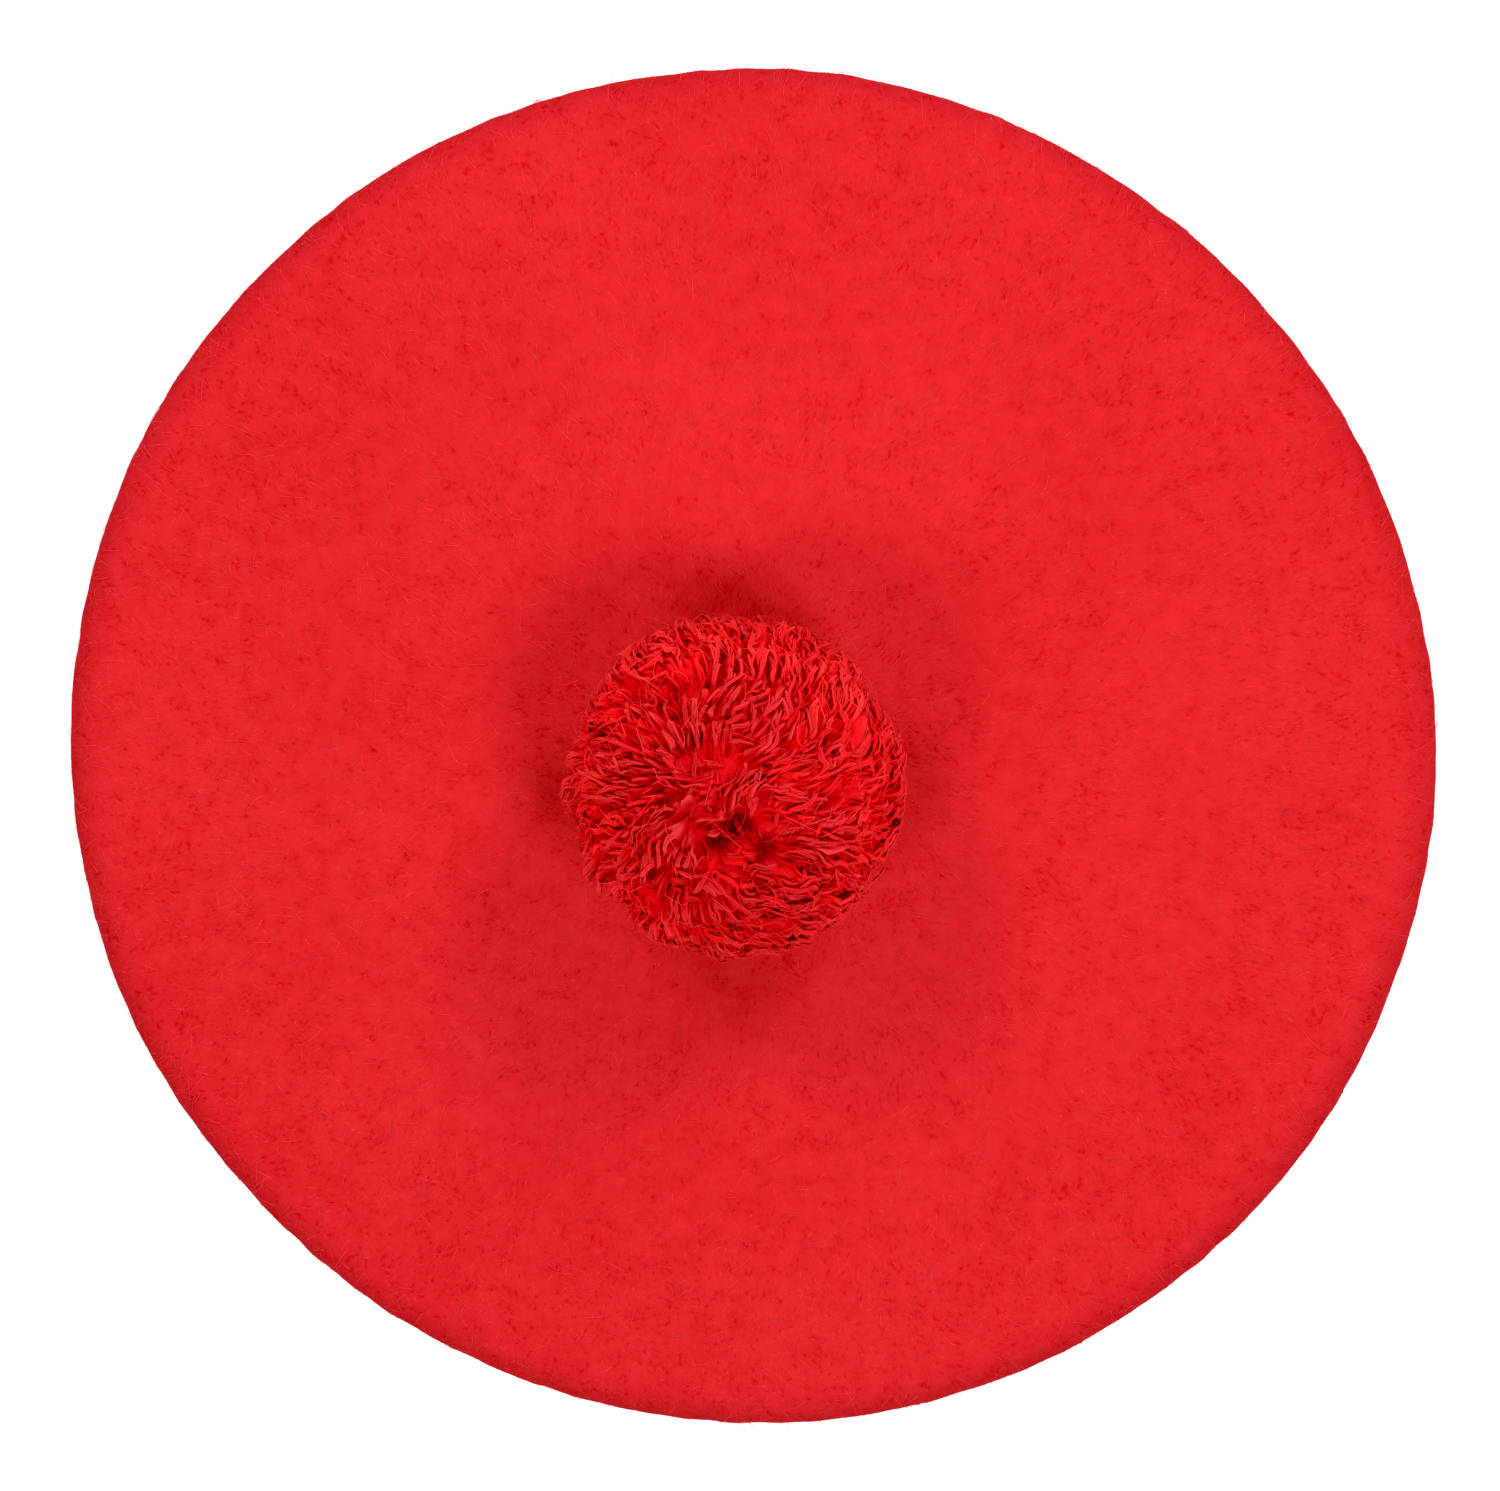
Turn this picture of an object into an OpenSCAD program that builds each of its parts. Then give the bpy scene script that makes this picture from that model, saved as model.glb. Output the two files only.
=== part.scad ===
// Felt beret with a cut-yarn pompom sewn to the middle of its crown.
// +Z is up, and the origin is the middle of the ring that the turned hem rests on.
// The back of the beret, where the sweatband's ends meet, is towards +Y.

/* [Crown] */
// Width of the crown across the rim
crown_d = 280; // [256:1:310]
// Height of the crown's top above the resting ring
crown_h = 40; // [38:0.5:48]
// Fall of the crown's dome from its middle to the rim
dome_drop = 7; // [4:0.5:10]
// Radius of the rim's turn, in the middle of the felt
rim_r = 7; // [5:0.5:8.5]
// Thickness of the fulled felt
felt_t = 2.6; // [2:0.1:3.2]

/* [Head opening] */
// Inside width of the sweatband, where the head goes
head_d = 180; // [168:1:190]
// Height of the collar's upright wall above the hem's fold
collar_h = 5; // [4:0.5:8]
// Radius of the bend between the collar and the underside
collar_bend = 6; // [4:0.5:8]
// Height of the felt that is turned up inside the collar
hem_h = 9; // [6:0.5:11]
// Gap between the collar and the felt that is turned up inside it
fold_gap = 0.2; // [0.1:0.05:0.4]

/* [Sweatband] */
// Height of the ribbon
band_h = 22; // [16:1:24]
// Thickness of the ribbon
band_t = 0.7; // [0.5:0.05:1]
// Height of the ribbon's lower edge above the resting ring
band_lift = 3; // [2:0.5:4]
// Gap between the ribbon's ends at the back
band_joint = 0.6; // [0.4:0.1:1.2]

/* [Stitching] */
// Thickness of the sewing thread
thread_d = 0.5; // [0.4:0.05:0.6]
// Length of one stitch
stitch_l = 3.6; // [3:0.1:4.4]
// Distance from one stitch to the next
stitch_pitch = 6; // [5.5:0.1:8]

/* [Pompom] */
// Width of the pompom over the strands' ends
pompom_d = 68; // [60:1:76]
// Depth that the pompom is pressed down over its knot
pompom_sink = 2.5; // [1:0.25:4]
// Number of tufts round the whole ball
tuft_count = 170; // [140:10:200]
// Width of a tuft where it leaves the packed core
tuft_d = 7; // [6:0.2:8]
// Width of a tuft at its cut end
tuft_tip_d = 5.2; // [4:0.2:6]
// Length of the tufts outside the packed core
tuft_l = 6; // [5:0.5:8]

/* [Tie] */
// Thickness of the yarn that ties the pompom
tie_d = 1.7; // [1.4:0.1:2]
// Inside radius of the binding round the strands' waist
waist_r = 5; // [4:0.25:6]
// Number of turns in the binding
waist_turns = 3; // [2:1:4]
// Radius of the knot between the pompom and the crown
knot_r = 2.6; // [2.3:0.1:3]
// Number of turns of thread round the shank
wrap_turns = 3; // [2:1:4]
// Distance between the two needle holes in the crown
tail_pitch = 3.4; // [3:0.1:4]

/* [Anchor inside the crown] */
// Width of the felt patch
patch_d = 32; // [26:1:40]
// Thickness of the felt patch
patch_t = 1.6; // [1.2:0.1:2]
// Number of overcast stitches round the patch
patch_stitches_n = 16; // [12:1:20]
// Width of the button
button_d = 15; // [12:0.5:18]
// Thickness of the button at its rim
button_t = 2.6; // [2.2:0.1:3.2]

/* [Motion] */
// Angle that the pompom leans each way on each of its two axes
lean = 15; // [10:1:18]
// Room left under the pompom when it leans both ways at once
lean_room = 1; // [0.8:0.1:1.5]

/* [Hidden] */
$fn = 96;

seat_gap = 0.1;      // between pieces that lie on each other
turn_gap = 0.25;     // between pieces that turn on each other
hole_gap = 0.15;     // round a yarn in its needle hole, on the radius
thread_proud = 0.15; // of the sewing thread over the cloth that it is drawn into
half_t = felt_t / 2;

// Collar and hem, from the sweatband outwards
head_r = head_d / 2;
hem_turn = (felt_t + fold_gap) / 2;             // radius of the hem's fold, in the middle of the felt
hem_mid = head_r + band_t + 2 * seat_gap + half_t;
collar_mid = hem_mid + 2 * hem_turn;
press_angle = 30;                               // half of the fold's underside is pressed flat
fold_z = (hem_turn + half_t) * cos(press_angle);
collar_top = fold_z + collar_h;

// Crown and rim: the dome and the rim's turn are two arcs that touch
crown_mid = crown_h - half_t;
rim_x = crown_d / 2 - half_t - rim_r;
dome_r = (rim_x * rim_x + dome_drop * dome_drop) / (2 * dome_drop);
rim_z = crown_mid - dome_r + sqrt(pow(dome_r - rim_r, 2) - rim_x * rim_x);
dome_angle = asin(rim_x / (dome_r - rim_r));

// The underside is the line that touches the rim's turn above it and the collar's bend below it
bend_x = collar_mid + collar_bend;
under_dx = rim_x - bend_x;
under_dz = rim_z - collar_top;
under_angle = atan2(under_dz, under_dx)
            - asin((rim_r + collar_bend) / norm([under_dx, under_dz]));

crown_in = crown_h - felt_t;                    // underneath of the crown in its middle

// Anchor inside the crown, from the felt downwards
patch_fall = dome_r - sqrt(dome_r * dome_r - patch_d * patch_d / 4);
patch_z = crown_in - patch_fall - seat_gap - patch_t;
button_z = patch_z - seat_gap - button_t;
dish_depth = 0.35 * button_t;                   // hollow of the button's face
tail_x = tail_pitch / 2;
tail_r = tie_d / 2;
hole_r = tail_r + hole_gap;
knot_scale = 1.12 * tail_r;                     // the yarn just clears itself where it crosses
knot_end_l = 5.5 * tie_d;                       // free ends of the knot
end_knot_z = button_z + dish_depth - knot_scale - tail_r - seat_gap;

// Shank between the crown and the pompom: everything leans about the knot's middle
pivot_z = crown_h + turn_gap + knot_r;
cord_x = tail_r + seat_gap / 2;
wrap_thread_r = 0.65;
wrap_bore = cord_x + tail_r + turn_gap;
wrap_mid = wrap_bore + wrap_thread_r;
wrap_step = 1.9 * wrap_thread_r;
wrap_z = pivot_z + knot_r + turn_gap;
wrap_h = (wrap_turns - 1) * wrap_step + 2 * wrap_thread_r;

// Pompom
pompom_r = pompom_d / 2;
pompom_z = pivot_z + pompom_r - pompom_sink;
core_r = pompom_r - tuft_l;
both_lean = acos(cos(lean) * cos(lean));        // lean on both axes at once
clear_angle = both_lean - asin((pivot_z - crown_h - lean_room) / pompom_r);
golden = 180 * (3 - sqrt(5));
waist_step = 0.95 * tie_d;
waist_mid = waist_r + tail_r + seat_gap;
cord_top = pompom_z - waist_mid - tail_r - seat_gap;

function arc(x, z, r, from, to, steps) =
    [for (i = [0:steps]) let (a = from + (to - from) * i / steps) [x + r * cos(a), z + r * sin(a)]];

// The felt's face at a distance off from its middle, outer face at half_t and inner face at -half_t,
// from the crown's middle out over the dome, round the rim, in under it and down the collar
function felt_face(off) = concat(
    arc(0, crown_mid - dome_r, dome_r + off, 90, 90 - dome_angle, 16),
    arc(rim_x, rim_z, rim_r + off, 90 - dome_angle, under_angle - 90, 20),
    arc(bend_x, collar_top, collar_bend - off, 90 + under_angle, 180, 8));

// The same face from the collar round the hem's fold, whose underside is pressed flat
outer_fold = concat(
    arc(collar_mid - hem_turn, fold_z, hem_turn + half_t, 0, press_angle - 90, 6),
    arc(collar_mid - hem_turn, fold_z, hem_turn + half_t, -90 - press_angle, -180, 6),
    [[hem_mid - half_t, fold_z + hem_h]]);
inner_fold = concat(
    arc(collar_mid - hem_turn, fold_z, hem_turn - half_t, 0, -180, 4),
    [[hem_mid + half_t, fold_z + hem_h]]);

function reversed(list) = [for (i = [len(list) - 1:-1:0]) list[i]];

// Middle of the yarn in an overhand knot that lies flat: three crossed loops, one of them open
function knot_loop(t) = knot_scale * [sin(t) + 2 * sin(2 * t), cos(t) - 2 * cos(2 * t), -sin(3 * t)];

// A free end of the knot, from the open loop (u = 0) outwards and down (u = 1)
function knot_end(start, side, u) =
    start + [side * 0.35 * knot_end_l * u * u,
             -knot_end_l * u,
             -start[2] * u - 0.25 * knot_end_l * u * u];

function unit(v) = v / norm(v);

// One seamless shell of fulled wool: crown, rim, underside, collar and turned-in hem
module felt_body() {
    color("crimson")
    difference() {
        rotate_extrude()
            polygon(concat(felt_face(half_t), outer_fold, reversed(concat(felt_face(-half_t), inner_fold))));
        tail_pair() translate([0, 0, crown_in - felt_t]) cylinder(r = hole_r, h = 3 * felt_t);
    }
}

// Puts its children at both needle holes
module tail_pair() {
    for (side = [-1, 1]) translate([side * tail_x, 0, 0]) children();
}

// A round yarn swept along a path of points that never runs straight up
module yarn_along(path, r, sides = 8) {
    last = len(path) - 1;
    rings = [for (i = [0:last])
        let (along = unit(path[min(i + 1, last)] - path[max(i - 1, 0)]),
             across = unit(cross(along, [0, 0, 1])),
             up = cross(across, along))
        for (k = [0:sides - 1])
            path[i] + r * (cos(360 * k / sides) * across + sin(360 * k / sides) * up)];
    skin = [for (i = [0:last - 1], k = [0:sides - 1])
        let (next = (k + 1) % sides)
        [i * sides + k, i * sides + next, (i + 1) * sides + next, (i + 1) * sides + k]];
    start_cap = [[for (k = [sides - 1:-1:0]) k]];
    end_cap = [[for (k = [0:sides - 1]) last * sides + k]];
    polyhedron(rings, concat(skin, start_cap, end_cap), convexity = 6);
}

// A ring of separate stitches that lie along a round wall
module stitch_row(radius, z) {
    count = floor(2 * PI * radius / stitch_pitch);
    sweep = stitch_l / radius * 180 / PI;
    for (i = [0:count - 1])
        rotate([0, 0, 360 * i / count])
            translate([0, 0, z])
                rotate_extrude(angle = sweep) translate([radius, 0]) circle(d = thread_d, $fn = 16);
}

// Thread that holds the turned-in hem, where it shows on the collar's outside
module hem_stitches() {
    color("darkred") stitch_row(collar_mid + half_t + thread_proud - thread_d / 2, fold_z + 0.6 * collar_h);
}

// Ribbon that lines the head opening, with its ends butted at the back
module sweatband() {
    joint_angle = band_joint / head_r * 180 / PI;
    color("brown")
    rotate([0, 0, 90 + joint_angle / 2])
        rotate_extrude(angle = 360 - joint_angle)
            translate([head_r, band_lift]) square([band_t, band_h]);
}

// Thread that holds the ribbon's lower edge to the hem
module sweatband_stitches() {
    color("darkred") stitch_row(head_r + thread_d / 2 - thread_proud, band_lift + 0.08 * band_h);
}

// Zigzag thread that draws the ribbon's two ends together
module sweatband_joint_stitches() {
    zigzags = 5;
    rise = 0.8 * band_h / zigzags;
    reach = band_joint + 4 * thread_d;
    color("darkred")
    for (i = [0:2 * zigzags - 1])
        translate([0, head_r + thread_d / 2 - thread_proud, band_lift + 0.1 * band_h + (i + 0.5) * rise / 2])
            rotate([0, (i % 2 == 0 ? 1 : -1) * atan2(reach, 0.35 * rise), 0])
                cylinder(d = thread_d, h = reach, center = true, $fn = 16);
}

// Felt disc that keeps the tie from pulling through the crown
module backing_patch() {
    color("firebrick")
    difference() {
        translate([0, 0, patch_z]) cylinder(d = patch_d, h = patch_t);
        tail_pair() translate([0, 0, patch_z - patch_t]) cylinder(r = hole_r, h = 3 * patch_t);
    }
}

// Overcast thread, from the crown round the patch's edge and face and back into the crown
module patch_stitches() {
    loop_r = patch_t + thread_proud;
    bite = 12;                                  // degrees of each end that are in the felt
    color("darkred")
    for (i = [0:patch_stitches_n - 1])
        rotate([0, 0, 360 * (i + 0.5) / patch_stitches_n])
            translate([patch_d / 2, 0, patch_z + patch_t])
                rotate([90, 0, 0])
                    rotate([0, 0, 180 - bite])
                        rotate_extrude(angle = 180 + 2 * bite)
                            translate([loop_r, 0]) circle(d = thread_d, $fn = 16);
}

// Two-hole button that spreads the tie's pull
module anchor_button() {
    edge = 0.3 * button_t;
    color("maroon")
    difference() {
        translate([0, 0, button_z])
            rotate_extrude()
                polygon(concat(
                    [[0, dish_depth]],
                    [[0.55 * button_d / 2, dish_depth], [0.78 * button_d / 2, 0]],
                    arc(button_d / 2 - edge, edge, edge, -90, 0, 6),
                    arc(button_d / 2 - edge, button_t - edge, edge, 0, 90, 6),
                    [[0, button_t]]));
        tail_pair() translate([0, 0, button_z - button_t]) cylinder(r = hole_r, h = 3 * button_t);
    }
}

// Overhand knot that the tie's two ends make against the button
module anchor_knot() {
    open_from = 210;
    open_to = 510;
    end_steps = 6;
    path = concat(
        [for (i = [end_steps:-1:1]) knot_end(knot_loop(open_from), 1, i / end_steps)],
        [for (t = [open_from:6:open_to]) knot_loop(t)],
        [for (i = [1:end_steps]) knot_end(knot_loop(open_to), -1, i / end_steps)]);
    color("crimson") translate([0, 0, end_knot_z]) yarn_along(path, tail_r);
}

// The tie's two ends, from the shank's knot through the crown, patch and button
module tie_tails() {
    bottom = button_z + dish_depth;
    color("crimson")
    difference() {
        tail_pair() translate([0, 0, bottom]) cylinder(r = tail_r, h = pivot_z - bottom, $fn = 32);
        translate([0, 0, pivot_z]) sphere(r = knot_r + turn_gap);
    }
}

// Round knot on top of the crown, which the pompom leans about
module shank_knot() {
    color("crimson") translate([0, 0, pivot_z]) sphere(r = knot_r);
}

// Thread wound round the cords above the knot
module shank_wrap() {
    color("darkred")
    translate([0, 0, wrap_z + wrap_thread_r])
        for (i = [0:wrap_turns - 1])
            translate([0, 0, i * wrap_step])
                rotate_extrude() translate([wrap_mid, 0]) circle(r = wrap_thread_r, $fn = 32);
}

// Turns of yarn drawn tight round the middle of the strands, in an upright plane
module waist_binding() {
    color("crimson")
    translate([0, 0, pompom_z])
        rotate([0, 90, 0])
            for (i = [0:waist_turns - 1])
                translate([0, 0, (i - (waist_turns - 1) / 2) * waist_step])
                    rotate_extrude() translate([waist_mid, 0]) circle(r = tail_r, $fn = 32);
}

// The binding's two cords, down through the wrap to the knot
module binding_cords() {
    color("crimson")
    difference() {
        for (side = [-1, 1])
            translate([side * cord_x, 0, pivot_z]) cylinder(r = tail_r, h = cord_top - pivot_z, $fn = 32);
        translate([0, 0, pivot_z]) sphere(r = knot_r + turn_gap);
    }
}

// One tuft: it leaves the core radially, and its tip is swept aside and trimmed unevenly
module tuft(i) {
    polar = acos(1 - 2 * (i + 0.5) / tuft_count);
    reach = pompom_r - 0.18 * tuft_tip_d * (1 + sin(137 * i));
    sweep = tuft_l * (0.25 + 0.2 * sin(71 * i));
    rotate([0, polar, golden * i])
        hull() {
            translate([0, 0, core_r - tuft_d / 2]) cylinder(d = tuft_d, h = tuft_d / 8, $fn = 6);
            translate([sweep * cos(50 * i), sweep * sin(50 * i), reach - tuft_tip_d / 8])
                cylinder(d = tuft_tip_d, h = tuft_tip_d / 8, $fn = 5);
        }
}

// Ball of cut strands, trimmed underneath to the room that its lean needs
module pompom_yarn() {
    binding_w = (waist_turns - 1) * waist_step + tie_d + 2 * seat_gap;
    wrap_top = wrap_z + wrap_h + turn_gap;
    color("red")
    difference() {
        intersection() {
            translate([0, 0, pompom_z])
                union() {
                    sphere(r = core_r, $fn = 24);
                    for (i = [0:tuft_count - 1]) tuft(i);
                }
            translate([0, 0, pivot_z])
                cylinder(r1 = 0, r2 = 3 * pompom_d / tan(clear_angle), h = 3 * pompom_d, $fn = 48);
        }
        translate([0, 0, pompom_z]) rotate([0, 90, 0])
            difference() {
                cylinder(r = waist_mid + tail_r + seat_gap, h = binding_w, center = true, $fn = 40);
                cylinder(r = waist_r, h = 2 * binding_w, center = true, $fn = 40);
            }
        translate([0, 0, pivot_z])
            cylinder(r = cord_x + tail_r + seat_gap, h = pompom_z - waist_mid - pivot_z, $fn = 32);
        translate([0, 0, pivot_z - knot_r])
            cylinder(r = wrap_mid + wrap_thread_r + turn_gap, h = wrap_top - pivot_z + knot_r, $fn = 40);
    }
}

felt_body();
hem_stitches();
sweatband();
sweatband_stitches();
sweatband_joint_stitches();
backing_patch();
patch_stitches();
anchor_button();
anchor_knot();
tie_tails();
shank_knot();
shank_wrap();
waist_binding();
binding_cords();
pompom_yarn();
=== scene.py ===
"""Looks of a felt beret with a ball pompom of cut yarn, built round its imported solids.

The felt, the yarns, the ribbon and the sewing are surfaces worked out with numpy.
All lengths are in metres, +Z is up, and every piece lies where its solid lies.
"""

from __future__ import annotations

import logging
import math
import sys
from dataclasses import dataclass, field
from enum import Enum, IntEnum
from typing import Union

import bpy
import numpy as np
from mathutils import Matrix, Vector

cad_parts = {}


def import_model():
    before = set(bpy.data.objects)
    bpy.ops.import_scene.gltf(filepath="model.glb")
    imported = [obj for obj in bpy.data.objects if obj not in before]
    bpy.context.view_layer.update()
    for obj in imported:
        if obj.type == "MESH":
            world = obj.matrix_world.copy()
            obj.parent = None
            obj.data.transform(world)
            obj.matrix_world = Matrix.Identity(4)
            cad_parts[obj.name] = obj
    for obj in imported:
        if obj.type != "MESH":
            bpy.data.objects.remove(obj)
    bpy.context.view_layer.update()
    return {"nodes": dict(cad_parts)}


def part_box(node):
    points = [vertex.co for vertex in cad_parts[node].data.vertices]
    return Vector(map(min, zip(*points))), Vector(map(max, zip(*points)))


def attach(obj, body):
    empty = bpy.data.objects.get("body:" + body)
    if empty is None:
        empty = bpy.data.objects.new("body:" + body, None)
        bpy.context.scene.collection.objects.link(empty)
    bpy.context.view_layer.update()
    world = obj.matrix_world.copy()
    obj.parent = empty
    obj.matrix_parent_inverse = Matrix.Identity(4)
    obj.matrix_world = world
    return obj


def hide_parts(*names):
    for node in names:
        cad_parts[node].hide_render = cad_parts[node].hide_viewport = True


LOG = logging.getLogger("beret")
MM = 0.001
TAU = 2.0 * math.pi
Array = np.ndarray
Random = np.random.Generator
Piece = bpy.types.Object
Material = bpy.types.Material
Socket = bpy.types.NodeSocket
Feed = Union[Socket, float, tuple]
Pair = tuple[float, float]
Place = tuple[float, float, float]
Colour = tuple[float, float, float]
WHITE: Colour = (1.0, 1.0, 1.0)


class Body(Enum):
    """The rigid bodies of the part, from the crown up to the pompom."""

    CROWN = "crown"
    SHANK_BASE = "shank_base"
    SHANK_NECK = "shank_neck"
    POMPOM = "pompom"


class Seed(IntEnum):
    """Picks the heights of each noise, so that no two patterns follow each other."""

    DRAPE = 11
    LUMP = 23
    FUZZ = 37
    PATCH = 51
    CURL = 71
    PARTING = 81
    WAVE = 300
    STROKE = 501
    TUFT = 601


# ---- arithmetic


def unit(vectors: Array) -> Array:
    """Scales each vector of the last axis to length one.

    Args:
        vectors: Any array whose last axis is x, y, z.

    Returns:
        The same array, each vector divided by its length.
    """
    return vectors / np.maximum(np.linalg.norm(vectors, axis=-1, keepdims=True), 1e-12)


def square_to(vectors: Array, axis: Array) -> Array:
    """The part of each vector that is square to its unit axis."""
    return vectors - axis * np.sum(vectors * axis, axis=-1, keepdims=True)


def round_axis(reach: Array, angle: Array, height: Array) -> Array:
    """Places round the upright axis, (r cos a, r sin a, z), with x, y, z on a new last axis."""
    return np.stack([reach * np.cos(angle), reach * np.sin(angle), height], axis=-1)


def smoothstep(low: float, high: float, value: Array) -> Array:
    """Eases from 0 at low to 1 at high: with t clamped to 0..1, the result is t * t * (3 - 2 * t).

    Args:
        low: Value where the step begins.
        high: Value where the step ends, which may be below low.
        value: Where the step is read.

    Returns:
        The step's height at each value.
    """
    t = np.clip((value - low) / (high - low), 0.0, 1.0)
    return t * t * (3.0 - 2.0 * t)


def lattice_noise(points: Array, cell: float, seed: int) -> Array:
    """Smooth noise: random heights at the corners of a cubic lattice, eased together inside each cube.

    Args:
        points: Places to read, with x, y, z on the last axis.
        cell: Side of one cube of the lattice.
        seed: Picks the set of heights.

    Returns:
        Heights from -1 to 1, one for each place.
    """
    scaled = points / cell
    corner = np.floor(scaled).astype(np.int64)
    inside = scaled - corner
    ease = inside * inside * (3.0 - 2.0 * inside)
    total = np.zeros(points.shape[:-1])
    for step in range(8):
        offset = np.array([step & 1, (step >> 1) & 1, (step >> 2) & 1])
        key = (corner + offset) * np.array([73856093, 19349663, 83492791])
        mixed = (key[..., 0] ^ key[..., 1] ^ key[..., 2]) + seed * 2654435761
        mixed = ((mixed ^ (mixed >> 15)) * 2246822519) & 0xFFFFFFFF
        mixed = ((mixed ^ (mixed >> 13)) * 3266489917) & 0xFFFFFFFF
        height = ((mixed ^ (mixed >> 16)) & 0xFFFFFF) / float(0x7FFFFF) - 1.0
        total += height * np.prod(np.where(offset == 1, ease, 1.0 - ease), axis=-1)
    return total


def layered_noise(points: Array, cell: float, seed: int, layers: int) -> Array:
    """Adds layers of lattice noise, each with half the cell and half the height of the last.

    Args:
        points: Places to read, with x, y, z on the last axis.
        cell: Cell of the first layer.
        seed: Picks the set of heights.
        layers: How many layers are added.

    Returns:
        Heights of about -1 to 1, one for each place.
    """
    total = sum(
        0.5**layer * lattice_noise(points, cell * 0.5**layer, seed + layer)
        for layer in range(layers)
    )
    return total / (2.0 - 0.5 ** (layers - 1))


def arc(x: float, z: float, radius: float, start: float, end: float, steps: int) -> Array:
    """Points on a circle, (x + r cos a, z + r sin a), as a runs evenly from start to end.

    Args:
        x: Middle of the circle, out from the axis.
        z: Height of the middle.
        radius: Radius of the circle.
        start: First angle, in radians.
        end: Last angle, in radians.
        steps: Number of steps between the two.

    Returns:
        An array of steps + 1 rows of x and z.
    """
    angle = np.linspace(start, end, steps + 1)
    return np.stack([x + radius * np.cos(angle), z + radius * np.sin(angle)], axis=1)


def even_points(line: Array, spacing: float) -> Array:
    """Walks along a line of straight stretches and puts points on it at even distances.

    Args:
        line: Corner points of the line.
        spacing: Wanted distance between two points.

    Returns:
        The new points, with the line's two ends among them.
    """
    steps = np.linalg.norm(np.diff(line, axis=0), axis=1)
    along = np.concatenate([[0.0], np.cumsum(steps)])
    count = max(2, int(round(along[-1] / spacing)) + 1)
    wanted = np.linspace(0.0, along[-1], count)
    return np.stack([np.interp(wanted, along, line[:, k]) for k in range(line.shape[1])], axis=1)


def even_directions(count: int, rng: Random, jitter: float) -> Array:
    """Directions spread evenly over a sphere by turning one golden angle at each step of height.

    Args:
        count: Number of directions.
        rng: Source of the jitter.
        jitter: Share of the spacing by which each one is moved at random.

    Returns:
        Unit vectors, one a row.
    """
    order = np.arange(count) + 0.5
    height = 1.0 - 2.0 * order / count
    turn = math.pi * (3.0 - math.sqrt(5.0)) * order
    flat = np.sqrt(1.0 - height * height)
    even = round_axis(flat, turn, height)
    return unit(even + jitter * math.sqrt(4.0 * math.pi / count) * rng.normal(size=(count, 3)) * 0.5)


# ---- mesh making


def mesh_object(name: str, points: Array, faces: list[Array], tones: dict[str, Array]) -> Piece:
    """Puts whole arrays of points and faces into one smooth mesh.

    Args:
        name: Name of the piece.
        points: Corner places, one a row.
        faces: Blocks of faces, each block an array with one face a row.
        tones: Values kept for each corner, by attribute name.

    Returns:
        The new object, linked to the scene and standing at the origin.
    """
    mesh = bpy.data.meshes.new(name)
    corners = np.concatenate([block.ravel() for block in faces]).astype(np.int32)
    sizes = np.concatenate([np.full(len(block), block.shape[1]) for block in faces])
    starts = np.concatenate([[0], np.cumsum(sizes)[:-1]]).astype(np.int32)
    mesh.vertices.add(len(points))
    mesh.vertices.foreach_set("co", np.ascontiguousarray(points, np.float32).ravel())
    mesh.loops.add(len(corners))
    mesh.loops.foreach_set("vertex_index", corners)
    mesh.polygons.add(len(sizes))
    mesh.polygons.foreach_set("loop_start", starts)
    mesh.polygons.foreach_set("use_smooth", np.ones(len(sizes), bool))
    for key, values in tones.items():
        layer = mesh.attributes.new(key, "FLOAT", "POINT")
        layer.data.foreach_set("value", np.ascontiguousarray(values, np.float32).ravel())
    mesh.update(calc_edges=True)
    mesh.validate()
    piece = bpy.data.objects.new(name, mesh)
    bpy.context.scene.collection.objects.link(piece)
    return piece


def grid_quads(rows: int, columns: int, wrap_rows: bool, wrap_columns: bool) -> Array:
    """Faces of a grid of rows by columns, whose corner at row i and column j has number i * columns + j.

    Args:
        rows: Number of rows of corners.
        columns: Number of corners in each row.
        wrap_rows: Whether the last row joins the first.
        wrap_columns: Whether each row is a closed ring.

    Returns:
        Four corner numbers a face, one face a row.
    """
    i, j = np.meshgrid(
        np.arange(rows if wrap_rows else rows - 1),
        np.arange(columns if wrap_columns else columns - 1),
        indexing="ij",
    )
    below, beside = (i + 1) % rows, (j + 1) % columns
    quads = [i * columns + j, below * columns + j, below * columns + beside, i * columns + beside]
    return np.stack(quads, axis=-1).reshape(-1, 4)


def path_frames(paths: Array) -> tuple[Array, Array]:
    """Two directions square to each path and to each other.

    Across is the path's own direction crossed with the axis that its span follows least, so that a ring
    doesn't spin against the last one. Up is across crossed with the path's direction.

    Args:
        paths: Middle lines, as tubes by rings by x, y, z.

    Returns:
        The directions across and up at each ring.
    """
    along = unit(np.gradient(paths, axis=1))
    span = paths[:, -1] - paths[:, 0]
    least = np.eye(3)[np.argmin(np.abs(span), axis=1)]
    across = unit(np.cross(along, least[:, None, :]))
    return across, np.cross(across, along)


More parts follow.
